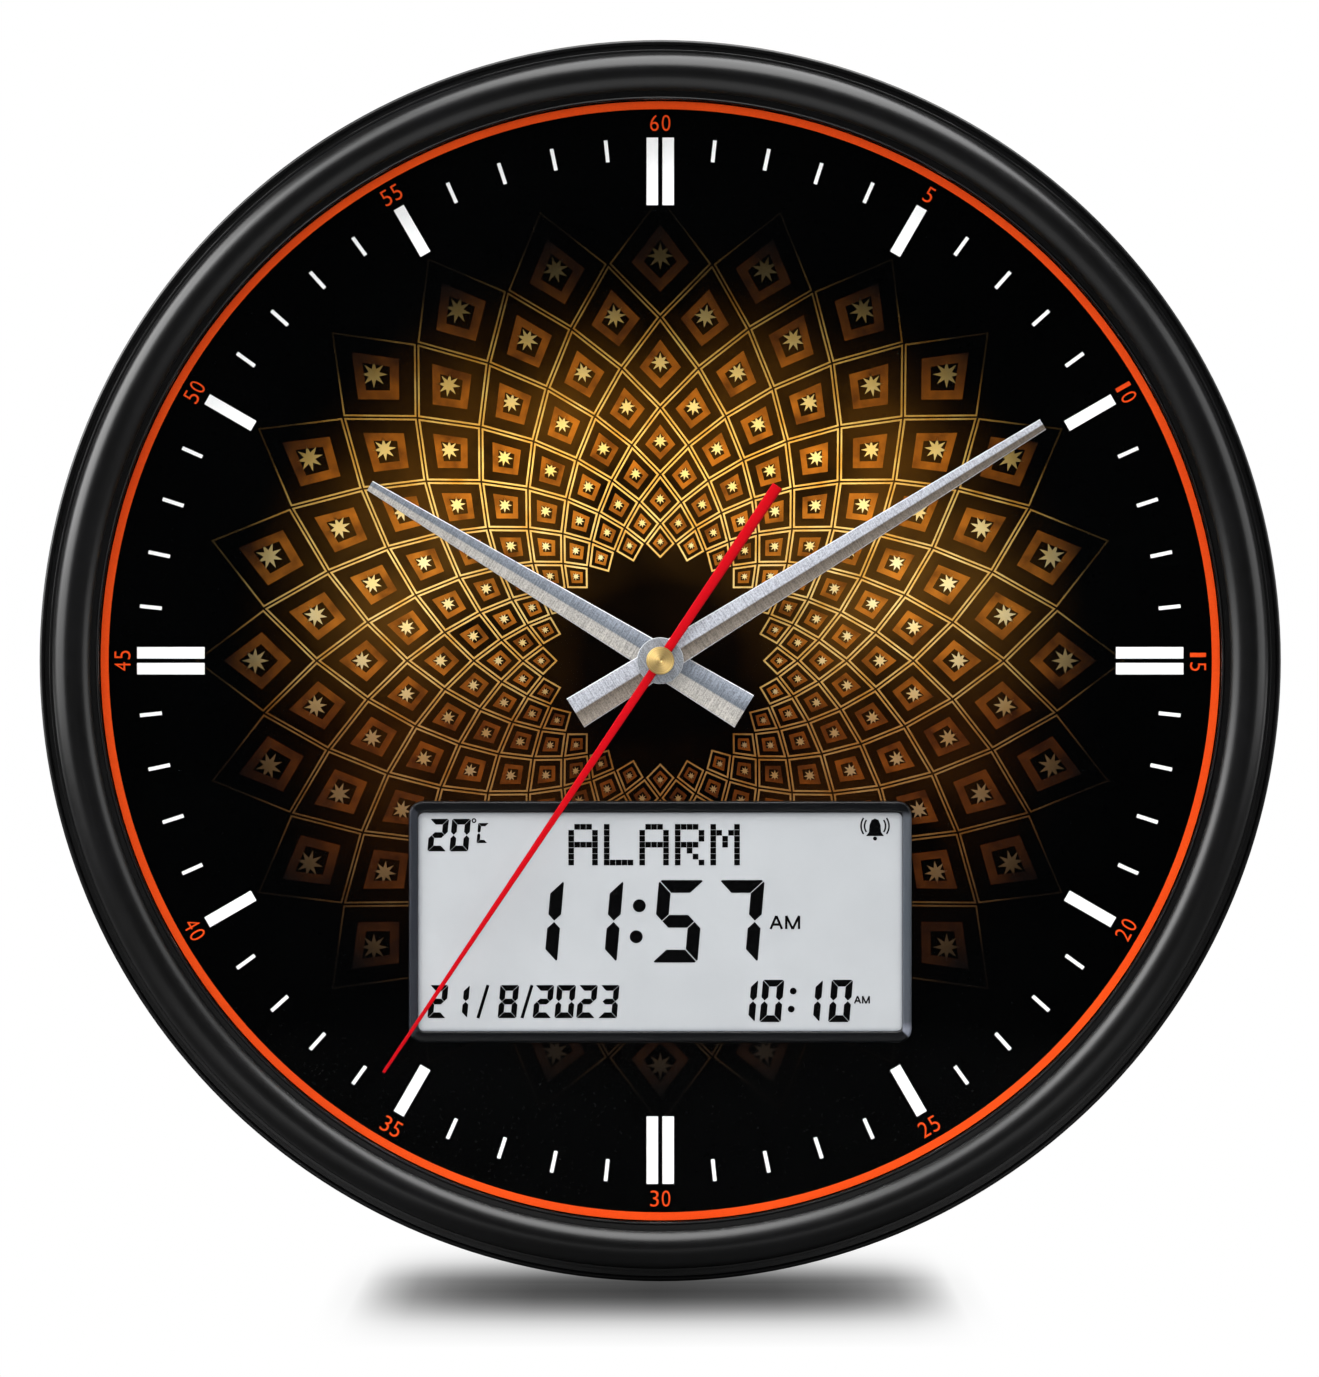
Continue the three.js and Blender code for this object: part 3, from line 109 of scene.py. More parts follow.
def rounded(corners, steps=ARC_STEPS):
    """A closed line through corners (x, y, radius), each turned with its radius."""
    line = []
    for index, (x, y, radius) in enumerate(corners):
        here = Vector((x, y))
        before = (Vector(corners[index - 1][:2]) - here).normalized()
        after = (Vector(corners[(index + 1) % len(corners)][:2]) - here).normalized()
        if radius < TINY:
            line.append((x, y))
            continue
        half = before.angle(after) / 2
        centre = here + (before + after).normalized() * radius / math.sin(half)
        first = here + before * radius / math.tan(half) - centre
        last = here + after * radius / math.tan(half) - centre
        start = math.atan2(first.y, first.x)
        turn = (math.atan2(last.y, last.x) - start + math.pi) % math.tau - math.pi
        line += [polar(radius, start + turn * step / steps, centre) for step in range(steps + 1)]
    return line


def rectangle(width, height, corner, centre=(0, 0)):
    """A rectangle's closed line with round corners, always with the same count of points."""
    x, y = centre
    half_width, half_height = width / 2, height / 2
    return rounded([
        (x + half_width, y + half_height, corner), (x - half_width, y + half_height, corner),
        (x - half_width, y - half_height, corner), (x + half_width, y - half_height, corner),
    ])


def arc(centre, half_width, half_height, start, end, steps):
    """Points on an ellipse from one angle to another, in degrees."""
    angles = [math.radians(start + (end - start) * step / steps) for step in range(steps + 1)]
    return [(centre[0] + half_width * math.cos(a), centre[1] + half_height * math.sin(a)) for a in angles]


def inset(loop, amount):
    """A convex loop drawn in by the same amount on every side."""
    line, points = [], [Vector(p) for p in loop]
    for index, here in enumerate(points):
        before = (points[index - 1] - here).normalized()
        after = (points[(index + 1) % len(points)] - here).normalized()
        reach = amount / max(math.sin(before.angle(after) / 2), 0.2)
        line.append(tuple(here + (before + after).normalized() * reach))
    return line


# Solids as bmeshes

def closed(mesh):
    bmesh.ops.recalc_face_normals(mesh, faces=mesh.faces)
    return mesh


def bridge(mesh, here, there):
    """Faces between two rings of vertices, either of which may be a single one."""
    count = max(len(here), len(there))
    for side in range(count):
        after = side + 1
        corners = [here[side % len(here)], here[after % len(here)],
                   there[after % len(there)], there[side % len(there)]]
        mesh.faces.new(list(dict.fromkeys(corners)))


def rings_at(levels, mesh):
    return [[mesh.verts.new(point(x, y, depth)) for x, y in loop] for loop, depth in levels]


def ring_through(levels, mesh=None):
    """A closed ring through loops with the same count of points, (loop, depth) each."""
    mesh = mesh or bmesh.new()
    rings = rings_at(levels, mesh)
    for here, there in zip(rings, rings[1:] + rings[:1]):
        if len(here) + len(there) > 2:
            bridge(mesh, here, there)
    return closed(mesh)


def lathe(profile, sides=RING_SIDES, centre=(0, 0)):
    """A closed profile of (radius, depth) turned about the depth axis."""
    return ring_through([
        (circle(radius, sides, centre) if radius > TINY else [centre], depth) for radius, depth in profile])


def disc(outer, back, front, bore=0, edges=(0.2, 0.2), bore_edge=0, sides=RING_SIDES):
    """A flat disc, or a ring round a bore, with round edges at its back and its front."""
    return lathe(rounded([(bore, back, bore_edge), (outer, back, edges[0]), (outer, front, edges[1]),
                          (bore, front, bore_edge)]), sides)


def band(inner, outer, back, front, mesh=None):
    """A flat closed band between two loops with the same count of points."""
    return ring_through([(inner, back), (outer, back), (outer, front), (inner, front)], mesh)


def stack(levels, mesh=None):
    """A solid through loops of points at rising depths, (loop, depth) each, closed at both ends."""
    mesh = mesh or bmesh.new()
    rings = rings_at(levels, mesh)
    for here, there in zip(rings, rings[1:]):
        bridge(mesh, here, there)
    mesh.faces.new(rings[0])
    mesh.faces.new(rings[-1])
    return closed(mesh)


def prism(loop, back, front, mesh=None):
    return stack([(loop, back), (loop, front)], mesh)


def combine(*meshes):
    whole = meshes[0]
    for mesh in meshes[1:]:
        data = bpy.data.meshes.new("part")
        mesh.to_mesh(data)
        whole.from_mesh(data)
        bpy.data.meshes.remove(data)
    return whole


def plain_object(name, mesh):
    data = bpy.data.meshes.new(name)
    mesh.to_mesh(data)
    mesh.free()
    made = bpy.data.objects.new(name, data)
    bpy.context.scene.collection.objects.link(made)
    return made


def carve(solid, tool, operation="DIFFERENCE"):
    """One bmesh cut by, or joined to, another."""
    base, other = plain_object("base", solid), plain_object("tool", tool)
    modifier = base.modifiers.new("carve", "BOOLEAN")
    modifier.operation, modifier.object, modifier.solver = operation, other, "EXACT"
    result = bmesh.new()
    result.from_object(base, bpy.context.evaluated_depsgraph_get())
    bmesh.ops.remove_doubles(result, verts=result.verts, dist=WELD)
    bmesh.ops.dissolve_degenerate(result, edges=result.edges, dist=WELD)
    for used in (base, other):
        data = used.data
        bpy.data.objects.remove(used)
        bpy.data.meshes.remove(data)
    return result


def piece(name, mesh, slot, stands_for=None, body="case", look=None, sharp=SHARP_DEGREES, place=Matrix()):
    """Makes a named piece of the scene that rides on a CAD body and may stand for a CAD node."""
    made = plain_object(name, mesh)
    made.matrix_world = place
    made.data.shade_smooth()
    made.data.set_sharp_from_angle(angle=math.radians(sharp))
    made.data.materials.append(LOOKS[look or slot])
    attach(made, body)
    if stands_for:
        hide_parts(stands_for)
    return made


# Sizes that the nodes' boxes don't give
LENS_RADIUS = 152
SPACER_BORE = 149.6
OPENING_RADIUS = 149
PICTURE_RADIUS = 116
WINDOW_WIDTH, WINDOW_HEIGHT = 129, 58.2
CELL_LENGTH = 49.5
HOUR_HUB, MINUTE_HUB = 5.8, 6.2
HAND_REACH = 5.1
POINTER_REACH = 1.6

# The camera's place, and the photograph's pixels on the plane of the display
CAMERA_ACROSS, CAMERA_UP, CAMERA_AWAY = -0.2, -7.4, 3085
MIDDLE_PIXEL = (659.5, 688.5)
PIXEL = 0.26665


# Looks, kept by name. A colour is a tuple of levels from 0 to 255, or one share of white.
LOOKS = {}


def colour(value):
    """A shader's colour in its linear scale, from levels as a picture shows them or from a share."""
    if not isinstance(value, tuple):
        return value, value, value, 1
    shares = [level / 255 for level in value]
    return (*(s / 12.92 if s < 0.0405 else ((s + 0.055) / 1.055) ** 2.4 for s in shares), 1)


def node(tree, kind, inputs=None, **settings):
    made = tree.nodes.new(kind)
    for key, value in settings.items():
        setattr(made, key, value)
    for key, value in (inputs or {}).items():
        if isinstance(value, bpy.types.NodeSocket):
            tree.links.new(value, made.inputs[key])
        else:
            made.inputs[key].default_value = value
    return made


def tree_of(*values):
    """The tree that the sockets among some values are in."""
    return next(value.id_data for value in values if isinstance(value, bpy.types.NodeSocket))


def maths(operation, *values):
    inputs = dict(enumerate(values))
    return node(tree_of(*values), "ShaderNodeMath", inputs, operation=operation).outputs[0]


def ramp(value, *stops):
    """Colours along a value, from stops of (place, colour)."""
    made = node(value.id_data, "ShaderNodeValToRGB", {"Fac": value})
    elements = made.color_ramp.elements
    elements[0].position, elements[1].position = stops[0][0], stops[-1][0]
    for place, _ in stops[1:-1]:
        elements.new(place)
    for element, (_, shade) in zip(elements, stops):
        element.color = colour(shade)
    return made.outputs["Color"]


def spread(value, low, high):
    """A value from 0 to 1 spread between two others."""
    inputs = {"Value": value, "To Min": low, "To Max": high}
    return node(value.id_data, "ShaderNodeMapRange", inputs).outputs[0]


def between(value, start, end):
    """0 at start and 1 at end, and held outside them."""
    inputs = {"Value": value, "From Min": start, "From Max": end}
    return node(value.id_data, "ShaderNodeMapRange", inputs).outputs[0]


def blend(amount, first, second, kind="MIX"):
    return node(tree_of(amount, first, second), "ShaderNodeMix", {0: amount, 6: first, 7: second},
                data_type="RGBA", blend_type=kind).outputs[2]


def times(first, second):
    return blend(1.0, first, second, "MULTIPLY")


def places(tree):
    """Across, depth and up of a point of the object, in metres, as three sockets."""
    coords = node(tree, "ShaderNodeTexCoord").outputs["Object"]
    return node(tree, "ShaderNodeSeparateXYZ", {0: coords}).outputs


def from_axis(tree):
    """How far a point is from the axis of the hands, in metres."""
    across, _, up = places(tree)
    squares = maths("MULTIPLY", across, across), maths("MULTIPLY", up, up)
    return maths("SQRT", maths("ADD", *squares))


def noise(tree, scale, detail=2.0, stretch=(1, 1, 1)):
    coords = node(tree, "ShaderNodeTexCoord").outputs["Object"]
    mapped = node(tree, "ShaderNodeMapping", {"Vector": coords, "Scale": stretch}).outputs[0]
    inputs = {"Vector": mapped, "Scale": scale, "Detail": detail}
    return node(tree, "ShaderNodeTexNoise", inputs).outputs["Fac"]


def material(name, **fixed):
    """Starts a look: its tree and its shader, with the values that are the same all over set on it."""
    LOOKS[name] = made = bpy.data.materials.new(name)
    made.use_nodes = True
    shader = made.node_tree.nodes["Principled BSDF"]
    for key, value in fixed.items():
        shader.inputs[key.replace("_", " ")].default_value = value
    return made.node_tree, shader


def paint(shader, base, roughness=None):
    """Links a colour to the shader, and a roughness where that changes over the surface."""
    shader.id_data.links.new(base, shader.inputs["Base Color"])
    if roughness is not None:
        shader.id_data.links.new(roughness, shader.inputs["Roughness"])


def relief(shader, height, depth):
    """Raises the surface by a field, to a depth in millimetres."""
    inputs = {"Height": height, "Distance": depth * MM, "Strength": 1}
    bump = node(shader.id_data, "ShaderNodeBump", inputs).outputs[0]
    shader.id_data.links.new(bump, shader.inputs["Normal"])


def finish(name, dark, light, roughness, grain, depth=0.0, cloud=25, stretch=(1, 1, 1), **fixed):
    """A finish with a broad change of colour, and a fine grain in its gloss and its relief."""
    tree, shader = material(name, **fixed)
    fine = noise(tree, grain, 2.0, stretch)
    mixed = maths("MULTIPLY_ADD", fine, 0.5, noise(tree, cloud, 3.0))
    paint(shader, ramp(mixed, (0.55, dark), (0.95, light)), spread(fine, *roughness))
    if depth:
        relief(shader, fine, depth)


def make_plastic_looks():
    finish("frame_gloss", (2, 2, 2), (6, 6, 7), (0.27, 0.32), 300, 0.001)
    finish("spacer_black", (2, 2, 2), (6, 6, 7), (0.36, 0.46), 500, 0.004)
    finish("cover_black", (22, 23, 25), (34, 35, 38), (0.45, 0.62), 2600, 0.03)
    finish("movement_black", (30, 32, 35), (44, 46, 49), (0.45, 0.6), 2200, 0.02)
    finish("button_white", (214, 212, 202), (230, 228, 219), (0.36, 0.5), 900, 0.01)
    finish("gear_white", (216, 214, 204), (236, 234, 226), (0.4, 0.55), 1200, 0.01)
    finish("strip_rubber", (196, 190, 180), (222, 217, 208), (0.7, 0.85), 800, 0.01)
    finish("circuit_board", (20, 72, 42), (40, 112, 66), (0.35, 0.5), 1400, 0.02, cloud=260)
    finish("cone_paper", (34, 32, 30), (52, 49, 46), (0.8, 0.95), 1800, 0.05)
    finish("lead_grey", (120, 120, 124), (150, 150, 154), (0.5, 0.62), 900, 0.008)
    finish("lead_red", (150, 26, 26), (184, 38, 36), (0.48, 0.6), 900, 0.008)
    finish("lead_black", (18, 18, 20), (34, 34, 36), (0.48, 0.6), 900, 0.008)


def make_metal_looks():
    finish("plated_steel", (168, 171, 175), (198, 201, 205), (0.22, 0.38), 700, 0.008,
           stretch=(1, 1, 9), Metallic=1)
    finish("screw_steel", (120, 122, 126), (172, 174, 178), (0.25, 0.42), 1500, 0.01, Metallic=1)
    finish("magnet_steel", (52, 52, 55), (74, 74, 78), (0.5, 0.7), 900, 0.02, Metallic=0.6)
    finish("pipe_brass", (176, 140, 62), (212, 176, 96), (0.22, 0.36), 1800, 0.006, Metallic=1)
    finish("coil_copper", (150, 78, 42), (196, 112, 66), (0.28, 0.45), 2400, 0.03,
           stretch=(1, 1, 8), Metallic=0.7)
    finish("hand_edge", (216, 218, 222), (246, 247, 250), (0.24, 0.34), 900, Metallic=0.5)


def make_print_looks():
    for name, dark, light in (("print_white", (250, 250, 249), (255, 255, 255)),
                              ("print_orange", (232, 71, 12), (244, 82, 17))):
        finish(name, dark, light, (0.42, 0.5), 1600, 0.002, Specular_IOR_Level=0.2)
    finish("segment_black", (0, 0, 0), (2, 2, 3), (0.5, 0.6), 1500, Specular_IOR_Level=0.05)


def make_lens_look():
    tree, shader = material("clear_lens", Alpha=0.04, IOR=1.46)
    smear = noise(tree, 14, 4.0)
    paint(shader, ramp(smear, (0.4, (10, 12, 13)), (0.6, (16, 18, 19))), spread(smear, 0.02, 0.06))


def across_colour(tree, reach, stops):
    """Painted light and shade across a hand, as colours from -reach to reach millimetres at either side of
    its middle.
    """
    share = between(places(tree)[0], -reach * MM, reach * MM)
    return ramp(share, *(((place / reach + 1) / 2, shade) for place, shade in stops))


def make_brushed_look(name, hub_radius, *stops):
    """Brushed aluminium, with painted light on one side of a hand's ridge, painted shade on the other, and a
    plain colour for its hub.
    """
    tree, shader = material(name, Metallic=0.3, Anisotropic=0.35)
    lines = noise(tree, 260, 3.0, (0.6, 1, 16))
    specks = noise(tree, 2400)
    both = maths("ADD", maths("MULTIPLY", lines, 0.5), maths("MULTIPLY", specks, 0.5))
    hub = between(from_axis(tree), hub_radius * MM, (hub_radius + 0.1) * MM)
    # The hub keeps a plain grey; the blade gets painted light and shade across its ridge.
    base = blend(hub, colour((156, 161, 168)), across_colour(tree, HAND_REACH, stops))
    grain = ramp(both, (0.38, 0.5), (0.62, 1.12))
    paint(shader, times(base, grain), spread(both, 0.3, 0.46))
    relief(shader, lines, 0.015)


def make_red_look():
    """Red paint on the thin second hand, with painted shade along one edge and painted light towards the
    other.
    """
    tree, shader = material("hand_red", Specular_IOR_Level=0.1)
    grain = noise(tree, 1400)
    # Painted shade and painted light across the hand.
    base = across_colour(tree, POINTER_REACH, (
        (-1.5, (118, 2, 10)), (-0.7, (172, 3, 15)), (0.6, (190, 4, 19)), (1.5, (198, 10, 26))))
    paint(shader, times(base, ramp(grain, (0.3, 0.9), (0.7, 1))), spread(grain, 0.3, 0.4))
    relief(shader, grain, 0.003)


def make_brass_look():
    """Brass with the rings that a lathe leaves, and painted light and dark wedges round the axis, where a
    turned surface would catch and lose the light.
    """
    tree, shader = material("cap_brass", Metallic=0.6, Anisotropic=0.8)
    across, _, up = places(tree)
    # Painted highlight and shade: two light and two dark wedges round the axis, turned by wedge_turn.
    angle = maths("ARCTAN2", up, across)
    wedge_pairs, wedge_turn = 2.0, 1.3
    wedges = maths("COSINE", maths("MULTIPLY_ADD", angle, wedge_pairs, wedge_turn))
    painted_sheen = ramp(between(wedges, -1, 1), (0, 0.42), (0.5, 0.72), (1, 1.3))
    rings = node(tree, "ShaderNodeTexNoise", {"W": from_axis(tree), "Scale": 4200, "Detail": 3},
                 noise_dimensions="1D").outputs["Fac"]
    brass = ramp(rings, (0.3, (216, 178, 100)), (0.7, (246, 214, 146)))
    paint(shader, times(brass, painted_sheen), spread(rings, 0.3, 0.4))
    tangent = node(tree, "ShaderNodeTangent", direction_type="RADIAL", axis="Y").outputs[0]
    tree.links.new(tangent, shader.inputs["Tangent"])
    relief(shader, rings, 0.003)


def glow(tree):
    """How bright the picture on the dial is: strongest in a band above the axis, gone at its edge."""
    inner, half_height = 0.03, 0.1
    fade = ramp(between(from_axis(tree), inner, PICTURE_RADIUS * MM),
                (0, (235, 235, 235)), (0.45, 1), (0.8, (170, 170, 170)), (1, (40, 40, 40)))
    rise = ramp(between(places(tree)[2], -half_height, half_height),
                (0, (70, 58, 50)), (0.42, (140, 112, 84)), (0.62, (255, 236, 190)),
                (0.76, (255, 224, 150)), (1, (96, 84, 58)))
    return times(fade, rise)


def make_dial_look():
    """Black ink with an amber haze behind the picture."""
    tree, shader = material("dial_print", Roughness=0.6, Specular_IOR_Level=0.0)
    heart_start, heart_end, fade_start = 0.02, 0.05, 0.72
    radius = from_axis(tree)
    amber = ramp(noise(tree, 28, 4.0), (0.32, (18, 12, 5)), (0.68, (86, 62, 28)))
    heart = ramp(between(radius, heart_start, heart_end), (0, 0.06), (1, 1))
    lit = times(times(amber, heart), glow(tree))
    outside = between(radius, PICTURE_RADIUS * fade_start * MM, PICTURE_RADIUS * MM)
    ink = ramp(noise(tree, 900), (0.3, 0), (0.7, (1, 1, 1)))
    paint(shader, blend(outside, lit, ink))


def make_picture_look(name, dark, light):
    """Printed gold, lit as the haze behind it is."""
    tree, shader = material(name, Roughness=0.5, Specular_IOR_Level=0.05)
    gold = ramp(noise(tree, 120, 4.0), (0.34, dark), (0.66, light))
    paint(shader, times(gold, glow(tree)))


def make_display_look():
    """Pale display glass with painted shade that darkens it softly towards its frame."""
    tree, shader = material("display_glass", Specular_IOR_Level=0.3)
    across, _, up = places(tree)
    height = maths("SUBTRACT", up, middle("lcd_front_glass")[1] * MM)
    side = maths("SUBTRACT", WINDOW_WIDTH / 2 * MM, maths("ABSOLUTE", across))
    end = maths("SUBTRACT", WINDOW_HEIGHT / 2 * MM, maths("ABSOLUTE", height))
    # Painted shade: the glass darkens within a millimetre of the frame.
    edge = between(maths("MINIMUM", side, end), 0, 1.0 * MM)
    field = ramp(noise(tree, 60, 3.0), (0.3, (171, 174, 177)), (0.7, (177, 180, 183)))
    rim = ramp(edge, (0, (196, 198, 202)), (0.5, (240, 241, 243)), (1, 1))
    paint(shader, times(field, rim), spread(noise(tree, 500), 0.26, 0.34))


def make_display_frame_look():
    """Black moulding with painted highlights on its end bars: grey on the left, lighter on the right and
    lightest at its lower corner.
    """
    tree, shader = material("display_frame_black", Specular_IOR_Level=0.3)
    across, _, up = places(tree)
    black = ramp(noise(tree, 25, 3.0), (0.3, (3, 4, 6)), (0.7, (8, 9, 12)))
    edge, soft = (WINDOW_WIDTH / 2 + 0.1) * MM, 0.2 * MM
    low, high = ((middle("lcd_frame")[1] + side * WINDOW_HEIGHT / 2) * MM for side in (-1, 1))
    # Painted highlight on the right bar, lightest at its lower corner and dark again at its top.
    light = ramp(between(up, low - 2.5 * MM, high + 0.5 * MM),
                 (0, (110, 114, 126)), (0.05, (118, 122, 134)), (0.08, (70, 74, 81)),
                 (0.55, (68, 74, 81)), (0.97, (74, 78, 84)), (1, (8, 9, 12)))
    past_ends = maths("MAXIMUM", maths("SUBTRACT", up, high), maths("SUBTRACT", low, up))
    mitre = maths("MAXIMUM", past_ends, 0.0)
    left = between(maths("ADD", across, mitre), soft - edge, -soft - edge)
    right = between(maths("SUBTRACT", across, mitre), edge - soft, edge + soft)
    # Painted highlight on the left bar, in grey.
    with_left_highlight = blend(left, black, colour((37, 40, 46)))
    paint(shader, blend(right, with_left_highlight, light), spread(noise(tree, 150), 0.3, 0.34))


def make_cell_look():
    """A printed jacket between bare metal ends, with a coloured band towards one of them."""
    tree, shader = material("cell_jacket")
    along = between(places(tree)[2], -CELL_LENGTH / 2 * MM, CELL_LENGTH / 2 * MM)
    metal, low_end, low_jacket, high_jacket, high_end = (196, 198, 202), 0.03, 0.034, 0.962, 0.966
    base = ramp(along, (0, metal), (low_end, metal), (low_jacket, (24, 30, 40)), (0.7, (30, 38, 52)),
                (0.705, (47, 95, 158)), (high_jacket, (58, 110, 176)), (high_end, metal), (1, metal))
    ends = ramp(along, (0, 1), (low_end, 1), (low_jacket, 0), (high_jacket, 0), (high_end, 1), (1, 1))
    grain = noise(tree, 700)
    paint(shader, base, spread(grain, 0.26, 0.4))
    tree.links.new(ends, shader.inputs["Metallic"])
    relief(shader, grain, 0.004)


def make_looks():
    make_plastic_looks()
    make_metal_looks()
    make_print_looks()
    make_lens_look()
    # Stops for each hand: painted light on the one face of its ridge, painted shade on the other.
    make_brushed_look("hour_aluminium", HOUR_HUB, (-5, (208, 203, 195)), (-0.2, (200, 196, 190)),
                      (0.2, (120, 127, 137)), (5, (176, 184, 197)))
    make_brushed_look("minute_aluminium", MINUTE_HUB, (-4.5, (198, 201, 210)), (-0.2, (190, 193, 202)),
                      (0.2, (116, 105, 94)), (4.5, (172, 162, 150)))
    LOOKS["hand_aluminium"] = LOOKS["hour_aluminium"]
    make_red_look()
    make_brass_look()
    make_dial_look()
    make_picture_look("picture_gold", (222, 176, 96), (255, 236, 184))
    make_picture_look("picture_amber", (110, 66, 20), (196, 128, 48))
    make_picture_look("picture_light", (255, 238, 190), (255, 252, 232))
    make_display_look()
    make_display_frame_look()
    make_cell_look()


# Frame

def make_frame():
    back = depths("bezel")[0]
    lens_front = depths("lens")[1]
    lip_back, lip_front, lip_round, lip_rise = lens_front + 0.3, lens_front + 1.3, 0.45, 0.8
    collar_inner, collar_outer, hollow_front = 152.4, 154.6, 36.4
    skirt_front, skirt_back, skirt_outer = 159.3, 158.8, 161
    roll_inner, roll_outer, roll_depth, roll_height = 151.1, 161.5, lens_front - 0.1, 5.28
    roll_middle, roll_half = (roll_inner + roll_outer) / 2, (roll_outer - roll_inner) / 2
    ledge, groove, ledge_outer, ledge_round = roll_depth - 1.2, roll_depth - 3.8, 162.3, 0.08
    bead, bead_round = 164.3, 0.7
    flank, flank_end = 5.96, 147
    flank_depth = roll_depth + roll_height - flank
    wall = roll_middle + flank * math.cos(math.radians(flank_end))
    profile = [
        (collar_inner, back), (collar_outer, back), (collar_outer, hollow_front),
        (skirt_front, hollow_front), (skirt_back, back), (skirt_outer, back),
        *arc((bead, groove), bead_round, bead_round, 0, 180, 10), (ledge_outer, groove),
        *arc((ledge_outer - ledge_round, ledge - ledge_round), ledge_round, ledge_round, 0, 90, 3),
        (roll_outer, ledge), *arc((roll_middle, roll_depth), roll_half, roll_height, 2, 88, 20),
        *arc((roll_middle, flank_depth), flank, flank, 90, flank_end, 20), (wall, lip_front),
        (OPENING_RADIUS + lip_round + 0.5, lip_front),
        *arc((OPENING_RADIUS + lip_round, lip_front), lip_round, lip_rise, 0, 180, 8),
        (OPENING_RADIUS, lip_back), (collar_inner, lip_back),
    ]
    piece("frame_moulding", lathe(profile), "frame_gloss", "bezel", sharp=CRISP_DEGREES)


def make_lens_and_spacer():
    piece("lens_disc", disc(LENS_RADIUS, *depths("lens")), "clear_lens", "lens")
    wall = disc(LENS_RADIUS, *depths("spacer_ring"), SPACER_BORE, bore_edge=0.2)
    piece("spacer_wall", wall, "spacer_black", "spacer_ring")


# Dial and what is printed on it
DIAL_FRONT = depths("dial")[1]
PRINT_BACK = DIAL_FRONT + 0.01
PRINT_FRONT = DIAL_FRONT + 0.05
PICTURE_FRONT = DIAL_FRONT + 0.03
FRAME_MIDDLE = middle("lcd_frame")

# The inner end and the width of a mark on the dial
QUARTER_BAR, HOUR_BAR, MINUTE_TICK = (121.5, 3.07), (125.2, 3.04), (133.65, 0.98)
QUARTER_SHIFT = 2.12
MARKS_OUTER = 139.5
RING_INNER, RING_OUTER = 147.1, 149.2
NUMBER_RADIUS, NUMBER_PITCH, NUMBER_HEIGHT, NUMBER_WEIGHT = 143.4, 3.1, 4.25, -0.008
ONE_WIDTH, DIGIT_WIDTH = 1.15, 2.25


def make_dial():
    back, front = depths("dial")
    bore, opening_width, opening_height, opening_corner = 4.2, 132.4, 62.8, 2.9
    opening = rectangle(opening_width, opening_height, opening_corner, FRAME_MIDDLE)
    plate = disc(LENS_RADIUS, back, front, bore)
    plate = carve(plate, prism(opening, back - OVERRUN, front + OVERRUN))
    piece("dial_plate", plate, "dial_print", "dial")


def add_mark(mesh, mark, turn, shift=0.0):
    """A printed bar that points at the axis, turned clockwise from twelve."""
    inner, width = mark
    corners = [(shift - width / 2, inner), (shift + width / 2, inner),
               (shift + width / 2, MARKS_OUTER), (shift - width / 2, MARKS_OUTER)]
    loop = [(x * math.cos(turn) + y * math.sin(turn), y * math.cos(turn) - x * math.sin(turn))
            for x, y in corners]
    prism(loop, PRINT_BACK, PRINT_FRONT, mesh)


def make_marks():
    bars, ticks = bmesh.new(), bmesh.new()
    for minute in range(60):
        turn = math.radians(minute * 6)
        if minute % 15 == 0:
            for side in (-1, 1):
                add_mark(bars, QUARTER_BAR, turn, side * QUARTER_SHIFT)
        elif minute % 5 == 0:
            add_mark(bars, HOUR_BAR, turn)
        else:
            add_mark(ticks, MINUTE_TICK, turn)
    piece("hour_bars", bars, "dial_print", look="print_white")
    piece("minute_ticks", ticks, "dial_print", look="print_white")
    ring = band(circle(RING_INNER, RING_SIDES), circle(RING_OUTER, RING_SIDES), PRINT_BACK, PRINT_FRONT)
    piece("dial_ring", ring, "dial_print", look="print_orange")


def lettering(text, width, place, turn):
    """Printed characters in plain letters, fitted to a width, centred on a place and turned clockwise."""
    curve = bpy.data.curves.new("text", "FONT")
    curve.body, curve.extrude, curve.offset = text, 0.5, NUMBER_WEIGHT
    source = bpy.data.objects.new("text", curve)
    bpy.context.scene.collection.objects.link(source)
    data = bpy.data.meshes.new_from_object(source.evaluated_get(bpy.context.evaluated_depsgraph_get()))
    mesh = bmesh.new()
    mesh.from_mesh(data)
    bpy.data.meshes.remove(data)
    bpy.data.objects.remove(source)
    bpy.data.curves.remove(curve)
    low = Vector([min(v.co[axis] for v in mesh.verts) for axis in range(3)])
    high = Vector([max(v.co[axis] for v in mesh.verts) for axis in range(3)])
    for vertex in mesh.verts:
        share = [(vertex.co[axis] - low[axis]) / (high[axis] - low[axis]) for axis in range(3)]
        x, y = (share[0] - 0.5) * width, (share[1] - 0.5) * NUMBER_HEIGHT
        vertex.co = point(place[0] + x * math.cos(turn) + y * math.sin(turn),
                          place[1] + y * math.cos(turn) - x * math.sin(turn),
                          PRINT_BACK + share[2] * (PRINT_FRONT - PRINT_BACK))
    bmesh.ops.remove_doubles(mesh, verts=mesh.verts, dist=WELD * 5)
    return closed(mesh)


def make_numbers():
    """The minutes from 5 to 60, upright in the lower half of the dial too."""
    numbers = []
    for hour in range(12):
        minute = hour * 5 or 60
        text, turn = str(minute), math.radians(minute * 6)
        place = NUMBER_RADIUS * math.sin(turn), NUMBER_RADIUS * math.cos(turn)
        lean = turn + math.pi if 3 < hour < 9 else turn
        for index, digit in enumerate(text):
            shift = (index - (len(text) - 1) / 2) * NUMBER_PITCH
            centre = place[0] + shift * math.cos(lean), place[1] - shift * math.sin(lean)
            width = ONE_WIDTH if digit == "1" else DIGIT_WIDTH
            numbers.append(lettering(digit, width, centre, lean))
    piece("dial_numbers", combine(*numbers), "dial_print", look="print_orange")


